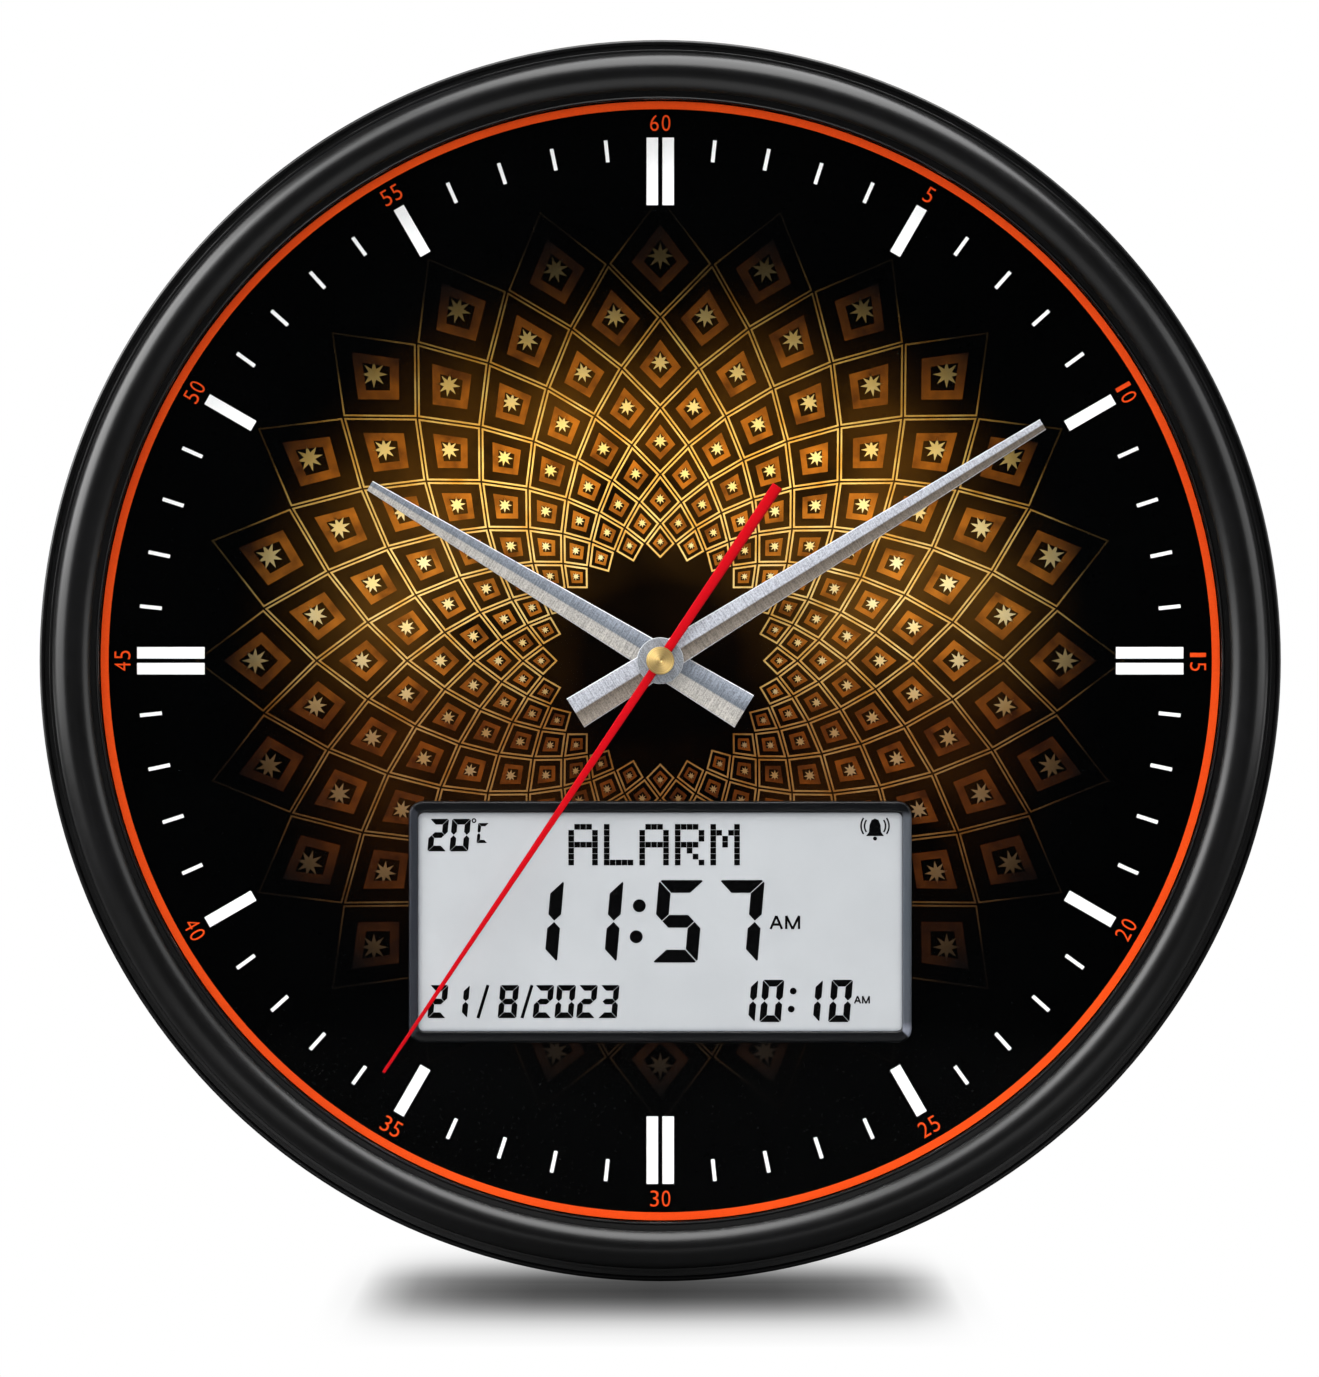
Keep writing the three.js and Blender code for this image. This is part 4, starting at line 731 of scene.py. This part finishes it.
def make_picture():
    """A rosette of interlaced kites round the axis, a common pattern of star work."""
    fold, growth, first, rings = 24, 1.165, 27, 9
    line_gap, line_width = 0.25, 0.45
    core_gap, core_width, star_inner, star_outer = 0.3, 0.16, 0.1, 0.24
    half = math.tau / fold / 2
    radii = [first * growth ** ring for ring in range(rings + 2)]
    lines, cores, studs = bmesh.new(), bmesh.new(), bmesh.new()
    for ring in range(rings):
        inner, waist, tip = radii[ring:ring + 3]
        size = waist - inner
        for index in range(fold):
            turn = math.tau * (index + ring % 2 / 2) / fold
            outer = inset([polar(inner, turn), polar(waist, turn + half), polar(tip, turn),
                           polar(waist, turn - half)], line_gap)
            band(inset(outer, line_width), outer, PRINT_BACK, PICTURE_FRONT, lines)
            core = inset(outer, core_gap * size)
            band(inset(core, core_width * size), core, PRINT_BACK, PICTURE_FRONT, cores)
            centre = polar((inner + tip) / 2, turn)
            star = [polar(size * (star_inner if corner % 2 else star_outer), turn + corner * math.pi / 8,
                          centre) for corner in range(16)]
            prism(star, PRINT_BACK, PICTURE_FRONT, studs)
    piece("rosette_lines", lines, "dial_print", look="picture_gold")
    piece("rosette_kites", cores, "dial_print", look="picture_amber")
    piece("rosette_stars", studs, "dial_print", look="picture_light")


# Display
GLASS_FRONT = depths("lcd_front_glass")[1]
SEGMENT_BACK = GLASS_FRONT + 0.02
SEGMENT_FRONT = GLASS_FRONT + 0.06
SEGMENTS = {"0": "abcdef", "1": "bc", "2": "abged", "3": "abgcd", "5": "afgcd", "7": "abc",
            "8": "abcdefg", "C": "afed"}
DOTS = {
    "A": "01110 10001 10001 11111 10001 10001 10001", "L": "10000 10000 10000 10000 10000 10000 11111",
    "R": "11110 10001 10001 11110 10100 10010 10001", "M": "10001 11011 10101 10101 10001 10001 10001",
}
MORNING_STROKES = ((0, 1, 0.2, 0), (0.2, 0, 0.4, 1), (0.08, 0.66, 0.32, 0.66), (0.55, 1, 0.55, 0),
                   (0.55, 0, 0.775, 1), (0.775, 1, 1, 0), (1, 0, 1, 1))


def make_display_frame():
    """The frame from the dial up its outside, over its front and down its window."""
    front = depths("lcd_frame")[1]
    width, height = extent("lcd_frame")[0], 64.4
    flange, lip = DIAL_FRONT + 0.3, front - 0.9
    outside = [(0.1, 3.6, flange), (0, 3.7, flange + 0.1), (0, 3.7, front - 0.75),
               (0.12, 3.58, front - 0.35), (0.42, 3.3, front - 0.1), (0.85, 2.9, front)]
    window = [(0.75, 2.3, front), (0.4, 1.95, front - 0.08), (0.14, 1.7, front - 0.3),
              (0, 1.6, front - 0.6), (0, 1.6, lip), (0.6, 2.1, lip), (0.6, 2.1, flange)]
    levels = [(rectangle(width - 2 * away, height - 2 * away, corner, FRAME_MIDDLE), depth)
              for away, corner, depth in outside]
    levels += [(rectangle(WINDOW_WIDTH + 2 * away, WINDOW_HEIGHT + 2 * away, corner, FRAME_MIDDLE), depth)
               for away, corner, depth in window]
    piece("display_bezel", ring_through(levels), "display_frame_black", "lcd_frame", sharp=50)


def pixel(x, y):
    """A place on the display, given in the photograph's pixels, in millimetres."""
    return CAMERA_ACROSS + (x - MIDDLE_PIXEL[0]) * PIXEL, CAMERA_UP - (y - MIDDLE_PIXEL[1]) * PIXEL


def ink(mesh, loop):
    prism(loop, SEGMENT_BACK, SEGMENT_FRONT, mesh)


def segments(mesh, text, left, top, width, height, thickness, pitch=0):
    """Draws characters of seven segments. Places and sizes are in the photograph's pixels."""
    slant = 0.087
    start, low = pixel(left, top + height)
    bar, tall = thickness * PIXEL, height * PIXEL
    wide, half = width * PIXEL - tall * slant, tall / 2
    gap, cut = 0.045 * bar, 0.18 * bar
    shapes = {
        "a": [(gap + cut, tall), (wide - gap - cut, tall), (wide - gap - cut / 2, tall - cut / 2),
              (wide - gap - bar, tall - bar), (gap + bar, tall - bar), (gap + cut / 2, tall - cut / 2)],
        "g": [(bar / 2 + gap, half), (bar + gap, half + bar / 2), (wide - bar - gap, half + bar / 2),
              (wide - bar / 2 - gap, half), (wide - bar - gap, half - bar / 2), (bar + gap, half - bar / 2)],
        "f": [(0, tall - gap - cut), (0, half + bar / 2 + gap), (bar / 2, half + gap),
              (bar, half + bar / 2 + gap), (bar, tall - gap - bar), (cut / 2, tall - gap - cut / 2)],
    }
    shapes["d"] = [(x, tall - y) for x, y in shapes["a"]]
    shapes["e"] = [(x, tall - y) for x, y in shapes["f"]]
    shapes["b"] = [(wide - x, y) for x, y in shapes["f"]]
    shapes["c"] = [(wide - x, tall - y) for x, y in shapes["f"]]
    for index, character in enumerate(text):
        shift = start + index * pitch * PIXEL
        for name in SEGMENTS[character]:
            ink(mesh, [(shift + x + y * slant, low + y) for x, y in shapes[name]])


def dot(mesh, x, y, radius):
    ink(mesh, circle(radius * PIXEL, 24, pixel(x, y)))


def stroke(mesh, x0, y0, x1, y1, width):
    """A straight line between two pixels."""
    start, end = Vector(pixel(x0, y0)), Vector(pixel(x1, y1))
    side = (end - start).orthogonal().normalized() * width * PIXEL / 2
    ink(mesh, [tuple(start + side), tuple(start - side), tuple(end - side), tuple(end + side)])


def show(name, mesh):
    """Makes one piece of what the display shows."""
    piece(name, mesh, "display_glass", look="segment_black")


def make_reading(name, characters, dots=(), strokes=(), mesh=None):
    mesh = mesh or bmesh.new()
    for character in characters:
        segments(mesh, *character)
    for place in dots:
        dot(mesh, *place)
    for line in strokes:
        stroke(mesh, *line)
    show(name, mesh)


def make_readings():
    """The time, the temperature over the date, and the alarm, with a top, a size and a thickness each."""
    time, date, alarm = (880, 52.8, 82.5, 12.8), (985, 21.6, 33, 5.7), (979.7, 25, 42.3, 6.8)
    make_reading("display_time", [("1", 511.4, *time), ("1", 570.9, *time), ("5", 651.8, *time),
                                  ("7", 711.9, *time)], [(639.3, 905.7, 6.5), (636.2, 936.7, 6.5)])
    degree, centre, inner, outer = bmesh.new(), pixel(474, 820.6), 0.3, 0.65
    band(circle(inner, 16, centre), circle(outer, 16, centre), SEGMENT_BACK, SEGMENT_FRONT, degree)
    make_reading(
        "display_date",
        [("20", 427.4, 818.8, 21.6, 32.5, 5.7, 22), ("C", 476.5, 823, 12.5, 20, 3.2),
         ("21", 427.4, 985, 21.1, 33, 5.7, 21.5), ("8", 497.6, *date), ("2023", 532.6, *date, 21.8)],
        strokes=[(478, 1018, 488, 985, 3.2), (522, 1018, 532, 985, 3.2)], mesh=degree)
    make_reading("display_alarm", [("10", 733.3, *alarm, 26), ("10", 798, *alarm, 30)],
                 [(793.2, 991, 3.4), (791.2, 1009, 3.4)])


def morning_label(mesh, left, top, width, height, weight):
    """The letters AM in plain strokes."""
    for x0, y0, x1, y1 in MORNING_STROKES:
        stroke(mesh, left + x0 * width, top + y0 * height, left + x1 * width, top + y1 * height, weight)


def make_word():
    word, labels = bmesh.new(), bmesh.new()
    dot_pitch, dot_side, letter_pitch, left, top = 5.95, 5.6, 35.5, 568.4, 824
    for index, letter in enumerate("ALARM"):
        for row, bits in enumerate(DOTS[letter].split()):
            for column, bit in enumerate(bits):
                if bit == "1":
                    x, y = left + index * letter_pitch + column * dot_pitch, top + row * dot_pitch
                    corners = [(x, y), (x + dot_side, y), (x + dot_side, y + dot_side), (x, y + dot_side)]
                    ink(word, [pixel(*corner) for corner in corners])
    show("display_word", word)
    morning_label(labels, 770.6, 915.8, 28.4, 13.2, 2.4)
    morning_label(labels, 854.6, 996, 14.6, 7.4, 1.5)
    show("display_labels", labels)


def make_bell():
    """A small bell with two arcs of sound on each side."""
    bell, middle_x, middle_y, half_line, sweep, steps = bmesh.new(), 875, 828, 0.8, 35, 8
    outline = [(-9, 8), (-6, 4), (-5.5, -3), (-3.5, -8), (0, -9.5), (3.5, -8), (5.5, -3), (6, 4), (9, 8)]
    ink(bell, [pixel(middle_x + x, middle_y + y) for x, y in outline])
    dot(bell, middle_x, middle_y + 10.5, 2)
    centre = pixel(middle_x, middle_y - 2)
    for reach in (10.5, 14):
        inner, outer = (reach - half_line) * PIXEL, (reach + half_line) * PIXEL
        for side in (0, 180):
            ink(bell, arc(centre, inner, inner, side - sweep, side + sweep, steps)
                + arc(centre, outer, outer, side + sweep, side - sweep, steps))
    show("display_bell", bell)


# Hands

def hand_blade(tip, tail, tip_width, tail_width, back, ridge, edge):
    """A blade with a ridge along its middle and a bevel along each side."""
    bevel, crest = 0.24, 0.12
    section = [(-1, 0, 0), (1, 0, 0), (1, 0, edge - bevel), (1, -bevel, edge), (0, crest, ridge),
               (0, -crest, ridge), (-1, bevel, edge), (-1, 0, edge - bevel)]
    mesh = bmesh.new()
    rings = [
        [mesh.verts.new(point(side * width / 2 + shift, place, back + rise)) for side, shift, rise in section]
        for place, width in ((-tail, tail_width), (tip, tip_width))
    ]
    bridge(mesh, *rings)
    mesh.faces.new(rings[0])
    mesh.faces.new(rings[1])
    return closed(mesh)


def clockwise(degrees):
    return Matrix.Rotation(math.radians(degrees), 4, "Y")


def make_hand(name, node_name, body, look, turn, blade, hub_radius, bore):
    """A hand from its blade's tip, tail and their widths, with a hub that stands on a collet."""
    back, front = depths(node_name)
    blade_back, ridge_drop, edge, wall = back + 0.5, 0.12, 0.45, 1.3
    bevel_leans, smooth = (25, 65), 12
    solid = hand_blade(*blade, blade_back, front - blade_back - ridge_drop, edge)
    hub = disc(hub_radius, blade_back, front, bore, (0.05, 0.2), sides=DISC_SIDES)
    collet = disc(bore + wall, back, blade_back + 0.2, bore, (0, 0), sides=DISC_SIDES)
    hole = prism(circle(bore, DISC_SIDES), back - OVERRUN, front + OVERRUN)
    solid = carve(carve(carve(solid, hub, "UNION"), collet, "UNION"), hole)
    made = piece(name, solid, "hand_aluminium", node_name, body, look, smooth, clockwise(turn))
    made.data.materials.append(LOOKS["hand_edge"])
    for face in made.data.polygons:
        lean = math.degrees(face.normal.angle(Vector((0, -1, 0))))
        face.material_index = 1 if bevel_leans[0] < lean < bevel_leans[1] else 0


def make_second_hand():
    back, front = depths("second_hand")
    bore, hub_radius, hub_edge, back_edge, front_edge = 0.85, 3.2, 0.08, 0.08, 0.12
    outline = [(-1.5, -56), (1.5, -56), (1.175, 0), (0.4, 132), (-0.4, 132), (-1.175, 0)]
    blade = stack([(inset(outline, back_edge), back), (outline, back + back_edge),
                   (outline, front - front_edge), (inset(outline, front_edge), front)])
    hub = disc(hub_radius, back, front, edges=(hub_edge, hub_edge), sides=DISC_SIDES)
    hole = prism(circle(bore), back - OVERRUN, front + OVERRUN)
    piece("second_pointer", carve(carve(blade, hub, "UNION"), hole), "hand_red", "second_hand",
          "second_train", place=clockwise(213.9))
    back, front = depths("second_cap")
    rim, edge, shoulder, ceiling = 3.7, 0.2, front - 0.95, front - 0.6
    cap = [(bore, back), (rim - 0.1, back), (rim, back + 0.1), (rim, shoulder),
           *arc((rim - edge, shoulder), edge, edge, 20, 80, 3), (0.6, front), (0.42, front - 0.04),
           (0.3, front - 0.14), (0, front - 0.16), (0, ceiling), (bore, ceiling)]
    piece("second_boss", lathe(cap, DISC_SIDES), "cap_brass", "second_cap", "second_train", sharp=20)


def make_hands():
    make_hand("hour_blade", "hour_hand", "hour_train", "hour_aluminium", 301.1, (90.3, 26.1, 2.9, 10.05),
              HOUR_HUB, 3.1)
    make_hand("minute_blade", "minute_hand", "minute_train", "minute_aluminium", 58.3,
              (119.7, 26.5, 3.2, 9), MINUTE_HUB, 2.1)
    make_second_hand()


# Back of the case
COVER_FLOOR = 3.2
DOOR_MIDDLE, DOOR_SIZE, DOOR_CORNER = (85, 10), (48.8, 59.8), 2
DOOR_TOP, DOOR_BOTTOM = DOOR_MIDDLE[1] + DOOR_SIZE[1] / 2, DOOR_MIDDLE[1] - DOOR_SIZE[1] / 2
WELL_SIZE, WELL_BACK, WELL_FRONT, WELL_WALL = (45.6, 56.6), 2.75, 17.1, 1.6
SPEAKER_MIDDLE = (-85, 20)
KNOB_MIDDLE, KNOB_HOLE = middle("setting_knob"), 6.5
KEYHOLE_UP = 112
BUTTON_PLACES = [middle(f"button_{index}") for index in range(1, 6)]
SCREW_PLACES = [middle(f"cover_screw_{index}") for index in range(1, 7)]


def sunk(radius, depth, centre, flare=0.35):
    """A tool for a round hole from the back face to a depth, with a broken edge."""
    return lathe([(0, -OVERRUN), (radius + flare + OVERRUN, -OVERRUN), (radius, flare), (radius, depth),
                  (0, depth)], HOLE_SIDES, centre)


def pocket(width, height, corner, depth, centre, flare=0.35):
    """A tool for a rectangular hole from the back face to a depth, with a broken edge."""
    grown = [rectangle(width + 2 * g, height + 2 * g, corner + g, centre) for g in (flare + OVERRUN, 0)]
    return stack([(grown[0], -OVERRUN), (grown[1], flare), (grown[1], depth)])


def slab(width, height, corner, centre, back, front, edge):
    """A flat plate with round corners and a broken edge at its back."""
    outer = rectangle(width, height, corner, centre)
    inner = rectangle(width - 2 * edge, height - 2 * edge, corner - edge, centre)
    return stack([(inner, back), (outer, back + edge), (outer, front)])


def keyhole_line(radius, slot, length=9):
    """The outline of a keyhole: a round opening and a slot above it."""
    mouth = math.degrees(math.asin(slot / radius))
    return (arc((0, KEYHOLE_UP), radius, radius, 90 + mouth, 450 - mouth, 40)
            + arc((0, KEYHOLE_UP + length), slot, slot, 0, 180, 16))


def cover_tools():
    """Everything that is cut from the back face of the cover: recess, holes and slots."""
    through, gap, recess_depth, button_hole = COVER_FLOOR + OVERRUN, 0.3, 2.3, 3.5
    screw_hole, screw_depth, screw_flare = 2.9, 2.1, 0.25
    grille, slot_count, slot_pitch, slot_width, slot_corner = 19.5, 6, 6.4, 3, 1.45
    recess = DOOR_SIZE[0] + 2 * gap, DOOR_SIZE[1] + 2 * gap, DOOR_CORNER + gap, recess_depth
    tools = [pocket(*recess, DOOR_MIDDLE), sunk(KNOB_HOLE, through, KNOB_MIDDLE)]
    tools += [sunk(button_hole, through, place) for place in BUTTON_PLACES]
    for index in range(slot_count):
        rise = (index - (slot_count - 1) / 2) * slot_pitch
        place = SPEAKER_MIDDLE[0], SPEAKER_MIDDLE[1] + rise
        length = math.sqrt(grille ** 2 - rise ** 2) * 2
        tools.append(pocket(length, slot_width, slot_corner, through, place))
    tools.append(prism(keyhole_line(6.2, 3.8), -OVERRUN, through))
    tools += [sunk(screw_hole, screw_depth, place, screw_flare) for place in SCREW_PLACES]
    return combine(*tools)


def make_cover():
    rim_front = depths("rear_cover")[1]
    radius, back_edge, rim_edge, notch_radius, notch_depth = 160.6, 1.4, 0.3, 7, 1.3
    tray = lathe(rounded([
        (0, 0, 0), (radius, 0, back_edge), (radius, COVER_FLOOR, 0.2), (LENS_RADIUS, COVER_FLOOR, 0),
        (LENS_RADIUS, rim_front, rim_edge), (SPACER_BORE, rim_front, rim_edge),
        (SPACER_BORE, COVER_FLOOR, 0), (0, COVER_FLOOR, 0)]))
    shell = carve(tray, cover_tools())
    outside, hollow = (rectangle(*size, DOOR_CORNER, DOOR_MIDDLE) for size in (DOOR_SIZE, WELL_SIZE))
    shell = carve(shell, prism(outside, WELL_BACK, WELL_FRONT + WELL_WALL), "UNION")
    shell = carve(shell, prism(hollow, -OVERRUN, WELL_FRONT))
    notch = sunk(notch_radius, notch_depth, (DOOR_MIDDLE[0], DOOR_TOP + 0.3), 0.3)
    piece("back_tray", carve(shell, notch), "cover_black", "rear_cover", sharp=CRISP_DEGREES)


def make_door():
    """The battery door with grooves for a finger and two hooks at its lower edge."""
    front, edge, groove_pitch, hook_across, hook_back, hook_front = 2, 0.25, 2.6, 7.5, 3.5, 4.7
    plate = slab(*DOOR_SIZE, DOOR_CORNER, DOOR_MIDDLE, 0, front, edge)
    grooves = [pocket(14, 1, 0.48, 0.5, (DOOR_MIDDLE[0], DOOR_TOP - index * groove_pitch), 0.1)
               for index in (2, 3, 4)]
    plate = carve(plate, combine(*grooves))
    for x in (DOOR_MIDDLE[0] - hook_across, DOOR_MIDDLE[0] + hook_across):
        neck = prism(rectangle(3, 1.5, 0.2, (x, DOOR_BOTTOM + 0.75)), front - 0.1, hook_front)
        hook = prism(rectangle(3, 3.5, 0.3, (x, DOOR_BOTTOM - 0.25)), hook_back, hook_front)
        plate = carve(carve(plate, neck, "UNION"), hook, "UNION")
    piece("battery_lid", plate, "cover_black", "battery_door", "door", sharp=CRISP_DEGREES)


def make_hanger():
    back, front = depths("hanger_plate")
    place = middle("hanger_plate")
    corner, edge, hole, hole_across = 4, 0.15, 1.8, 17
    lines = [keyhole_line(4.8, 2.4)]
    lines += [circle(hole, HOLE_SIDES, (side * hole_across, place[1])) for side in (-1, 1)]
    tools = [prism(line, back - OVERRUN, front + OVERRUN) for line in lines]
    plate = slab(*extent("hanger_plate"), corner, place, back, front, edge)
    piece("hanger", carve(plate, combine(*tools)), "plated_steel", "hanger_plate", sharp=CRISP_DEGREES)


def make_knob():
    back, front = depths("setting_knob")
    radius, ripple, grip_steps, steps, taper, taper_depth = 5.5, 0.28, 8, 112, 0.93, 0.4
    dish_outer, dish_inner, dish_edge, dish_floor = 3.85, 3.4, back + 0.2, back + 1.2

    def grips(share):
        radii = [radius - ripple * (1 + math.cos(math.tau * step / grip_steps)) for step in range(steps)]
        return [polar(share * reach, math.tau * step / steps, KNOB_MIDDLE)
                for step, reach in enumerate(radii)]

    knob = stack([(grips(taper), back), (grips(1), back + taper_depth), (grips(1), front)])
    dish = lathe([(0, back - OVERRUN), (dish_outer + OVERRUN, back - OVERRUN), (dish_outer, dish_edge),
                  (dish_inner, dish_floor), (0, dish_floor)], HOLE_SIDES, KNOB_MIDDLE)
    piece("time_knob", carve(knob, dish), "button_white", "setting_knob", "setting_train",
          sharp=CRISP_DEGREES)


def make_buttons():
    cap, crown, flange, flange_back, flange_front, pin = 3.2, 1.0, 4.4, 3.5, 4.5, 1.8
    for index, place in enumerate(BUTTON_PLACES, 1):
        back, front = depths(f"button_{index}")
        profile = [(0, back), *arc((cap - crown, back + crown), crown, crown, -90, 0, 8),
                   (cap, flange_back), (flange, flange_back), (flange, flange_front), (pin, flange_front),
                   (pin, front), (0, front)]
        piece(f"press_{index}", lathe(profile, HOLE_SIDES, place), "button_white", f"button_{index}",
              f"push_button_{index}")


def make_screws():
    head, crown, crown_rise, head_depth, shank, tip = 2.6, 0.9, 0.7, 1.5, 1.3, 1.6
    slot_length, slot_width, slot_depth = 2.8, 0.62, 0.9
    for index, place in enumerate(SCREW_PLACES, 1):
        back, front = depths(f"cover_screw_{index}")
        profile = [(0, back), *arc((head - crown, back + crown_rise), crown, crown_rise, -90, 0, 6),
                   (head, back + head_depth), (shank, back + head_depth), (shank, front - tip), (0, front)]
        screw = lathe(profile, HOLE_SIDES, place)
        for size in ((slot_length, slot_width), (slot_width, slot_length)):
            screw = carve(screw, prism(rectangle(*size, 0.1, place), back - 1, back + slot_depth))
        piece(f"screw_{index}", screw, "screw_steel", f"cover_screw_{index}", sharp=CRISP_DEGREES)


def make_cells():
    radius, nipple, shoulder = 7.2, 2.7, 1
    for index in range(1, 4):
        name = f"cell_{index}"
        half = extent(name)[1] / 2
        mesh = lathe(rounded([
            (0, -half, 0), (radius, -half, 0.7), (radius, half - shoulder, 0.7),
            (nipple, half - shoulder, 0.1), (nipple, half, 0.3), (0, half, 0)]), HOLE_SIDES)
        upright = math.pi / 2 if index == 2 else -math.pi / 2
        mesh.transform(Matrix.Rotation(upright, 4, "X"))
        place = Matrix.Translation(point(*middle(name), sum(depths(name)) / 2))
        piece(f"battery_{index}", mesh, "cell_jacket", name, place=place)


def dress_nodes():
    """Gives each CAD node that stays its finish, by the material slot that the record names."""
    for part in frame["record"]["subparts"]:
        node_object = frame["nodes"][part["node"]]
        node_object.data.materials.clear()
        node_object.data.materials.append(LOOKS[part["material_slot"]])


# Studio, in metres

def softbox(name, place, size, radiance, mirrored=True):
    """A soft panel that faces the object, as bright all over as its radiance says."""
    data = bpy.data.lights.new(name, "AREA")
    data.shape, data.size, data.size_y = "RECTANGLE", *size
    data.energy = radiance * size[0] * size[1] * math.pi
    lamp = bpy.data.objects.new(name, data)
    lamp.location = place
    lamp.rotation_euler = (-Vector(place)).to_track_quat("-Z", "Y").to_euler()
    lamp.visible_glossy = mirrored
    bpy.context.scene.collection.objects.link(lamp)


def make_lamps():
    softbox("upper_left_softbox", (-1.17, -0.22, 0.68), (1.1, 1.0), 4.2)
    softbox("left_softbox", (-1.35, -0.34, 0.2), (1.45, 2.0), 3.0)
    softbox("top_softbox", (0.2, -0.28, 1.32), (1.5, 1.4), 6.0)
    softbox("right_softbox", (1.38, -0.22, 0.05), (1.2, 2.0), 1.8)
    softbox("key_softbox", (-0.94, -1.0, 1.35), (0.9, 0.9), 4.0)
    softbox("front_softbox", (-0.1, -3.5, 0.0), (0.9, 0.7), 34.0, mirrored=False)


def make_world():
    """White behind the object for the camera, and a plain light all round."""
    dark, fill = 0.04, 0.45
    world = bpy.data.worlds.new("studio")
    bpy.context.scene.world = world
    world.use_nodes = True
    tree = world.node_tree
    tree.nodes.clear()

    def background(shade, strength=1):
        return node(tree, "ShaderNodeBackground", {"Color": shade, "Strength": strength}).outputs[0]

    path = node(tree, "ShaderNodeLightPath").outputs
    direction = node(tree, "ShaderNodeTexCoord").outputs["Generated"]
    ahead = node(tree, "ShaderNodeSeparateXYZ", {0: direction}).outputs[1]
    sweep = ramp(between(ahead, -1, 1), (0, dark), (0.9, dark), (0.99, 1))
    shiny = maths("MAXIMUM", path["Is Glossy Ray"], path["Is Transmission Ray"])
    lit = node(tree, "ShaderNodeMixShader",
               {0: shiny, 1: background(colour(1), fill), 2: background(sweep)}).outputs[0]
    shown = node(tree, "ShaderNodeMixShader",
                 {0: path["Is Camera Ray"], 1: lit, 2: background(colour(1))}).outputs[0]
    node(tree, "ShaderNodeOutputWorld", {"Surface": shown})


def fading(place, centre, *stops):
    """A share that falls off on both sides of a place, from stops of (metres, share)."""
    away = maths("ABSOLUTE", maths("SUBTRACT", place, centre))
    end = stops[-1][0]
    return ramp(between(away, 0, end), *((reach / end, share) for reach, share in stops))


def make_floor_look():
    """A pale floor with a painted soft shadow at the foot of the object, laid over its real shadow, that
    turns into the white background.
    """
    tree, shader = material("floor", Roughness=0.9, Specular_IOR_Level=0.0)
    shade_across, shade_along, shade_depth, shade_kept = -0.001, -0.078, 0.733, 0.35
    picture_curve, floor_level, front_along, dark, pale = 2.2, 0.38, -0.36, 0.06, 0.34
    path = node(tree, "ShaderNodeLightPath").outputs
    camera, glossy = path["Is Camera Ray"], path["Is Glossy Ray"]
    across, along, _ = places(tree)
    # Painted shadow: a soft dark patch at the object's foot, darkest a little in front of it, over the
    # floor's real shadow.
    wide = fading(across, shade_across, (0, 1), (0.0314, 0.933), (0.047, 0.829), (0.0549, 0.735),
                  (0.0627, 0.6), (0.0706, 0.347), (0.0784, 0.056), (0.0863, 0))
    deep = fading(along, shade_along, (0, 1), (0.03, 0.955), (0.06, 0.81), (0.09, 0.63),
                  (0.12, 0.435), (0.15, 0.25), (0.18, 0.135), (0.21, 0.065), (0.26, 0))
    shade = maths("MULTIPLY", wide, deep)
    level = maths("SUBTRACT", 1.0, maths("MULTIPLY", shade, shade_depth))
    seen = maths("POWER", level, picture_curve)
    mottle = ramp(noise(tree, 30), (0.3, 0.26), (0.7, 0.3))
    ahead = maths("MULTIPLY", fading(across, 0, (0, 1), (0.14, 1), (0.3, 0)),
                  fading(along, front_along, (0, 1), (0.16, 1), (0.3, 0)))
    plain = blend(glossy, mottle, blend(ahead, colour(dark), colour(pale)))
    paint(shader, blend(camera, plain, maths("MULTIPLY", seen, floor_level)))
    shiny = maths("MAXIMUM", glossy, path["Is Transmission Ray"])
    behind = maths("MULTIPLY", between(along, 0.5, 1.5), shiny)
    kept = maths("SUBTRACT", 1.0, maths("MULTIPLY", shade, shade_kept))
    amount = maths("MAXIMUM", behind, maths("MULTIPLY", kept, camera))
    # The white background carries the same painted shadow.
    white_with_painted_shadow = blend(camera, colour(1), seen)
    white = node(tree, "ShaderNodeEmission", {"Color": white_with_painted_shadow, "Strength": 1}).outputs[0]
    mixed = node(tree, "ShaderNodeMixShader", {0: amount, 1: shader.outputs[0], 2: white}).outputs[0]
    tree.links.new(mixed, tree.nodes["Material Output"].inputs["Surface"])


def make_floor():
    make_floor_look()
    drop = 0.0003
    ground = bmesh.new()
    bmesh.ops.create_circle(ground, cap_ends=True, radius=6, segments=64)
    floor = plain_object("floor", ground)
    floor.location = (0, 0, cad_box[0].z - drop)
    floor.data.materials.append(LOOKS["floor"])


def make_camera():
    data = bpy.data.cameras.new("camera")
    data.lens, data.sensor_width, data.clip_end = 300, 36, 50
    camera = bpy.data.objects.new("camera", data)
    camera.location = point(CAMERA_ACROSS, CAMERA_UP, CAMERA_AWAY)
    camera.rotation_euler = (math.pi / 2, 0, 0)
    bpy.context.scene.collection.objects.link(camera)
    bpy.context.scene.camera = camera
    bpy.context.scene.view_settings.view_transform = "Standard"


make_looks()
make_camera()
make_lamps()
make_world()
make_floor()
make_frame()
make_lens_and_spacer()
make_dial()
make_marks()
make_numbers()
make_picture()
make_display_frame()
make_readings()
make_word()
make_bell()
make_hands()
make_cover()
make_door()
make_hanger()
make_knob()
make_buttons()
make_screws()
make_cells()
dress_nodes()
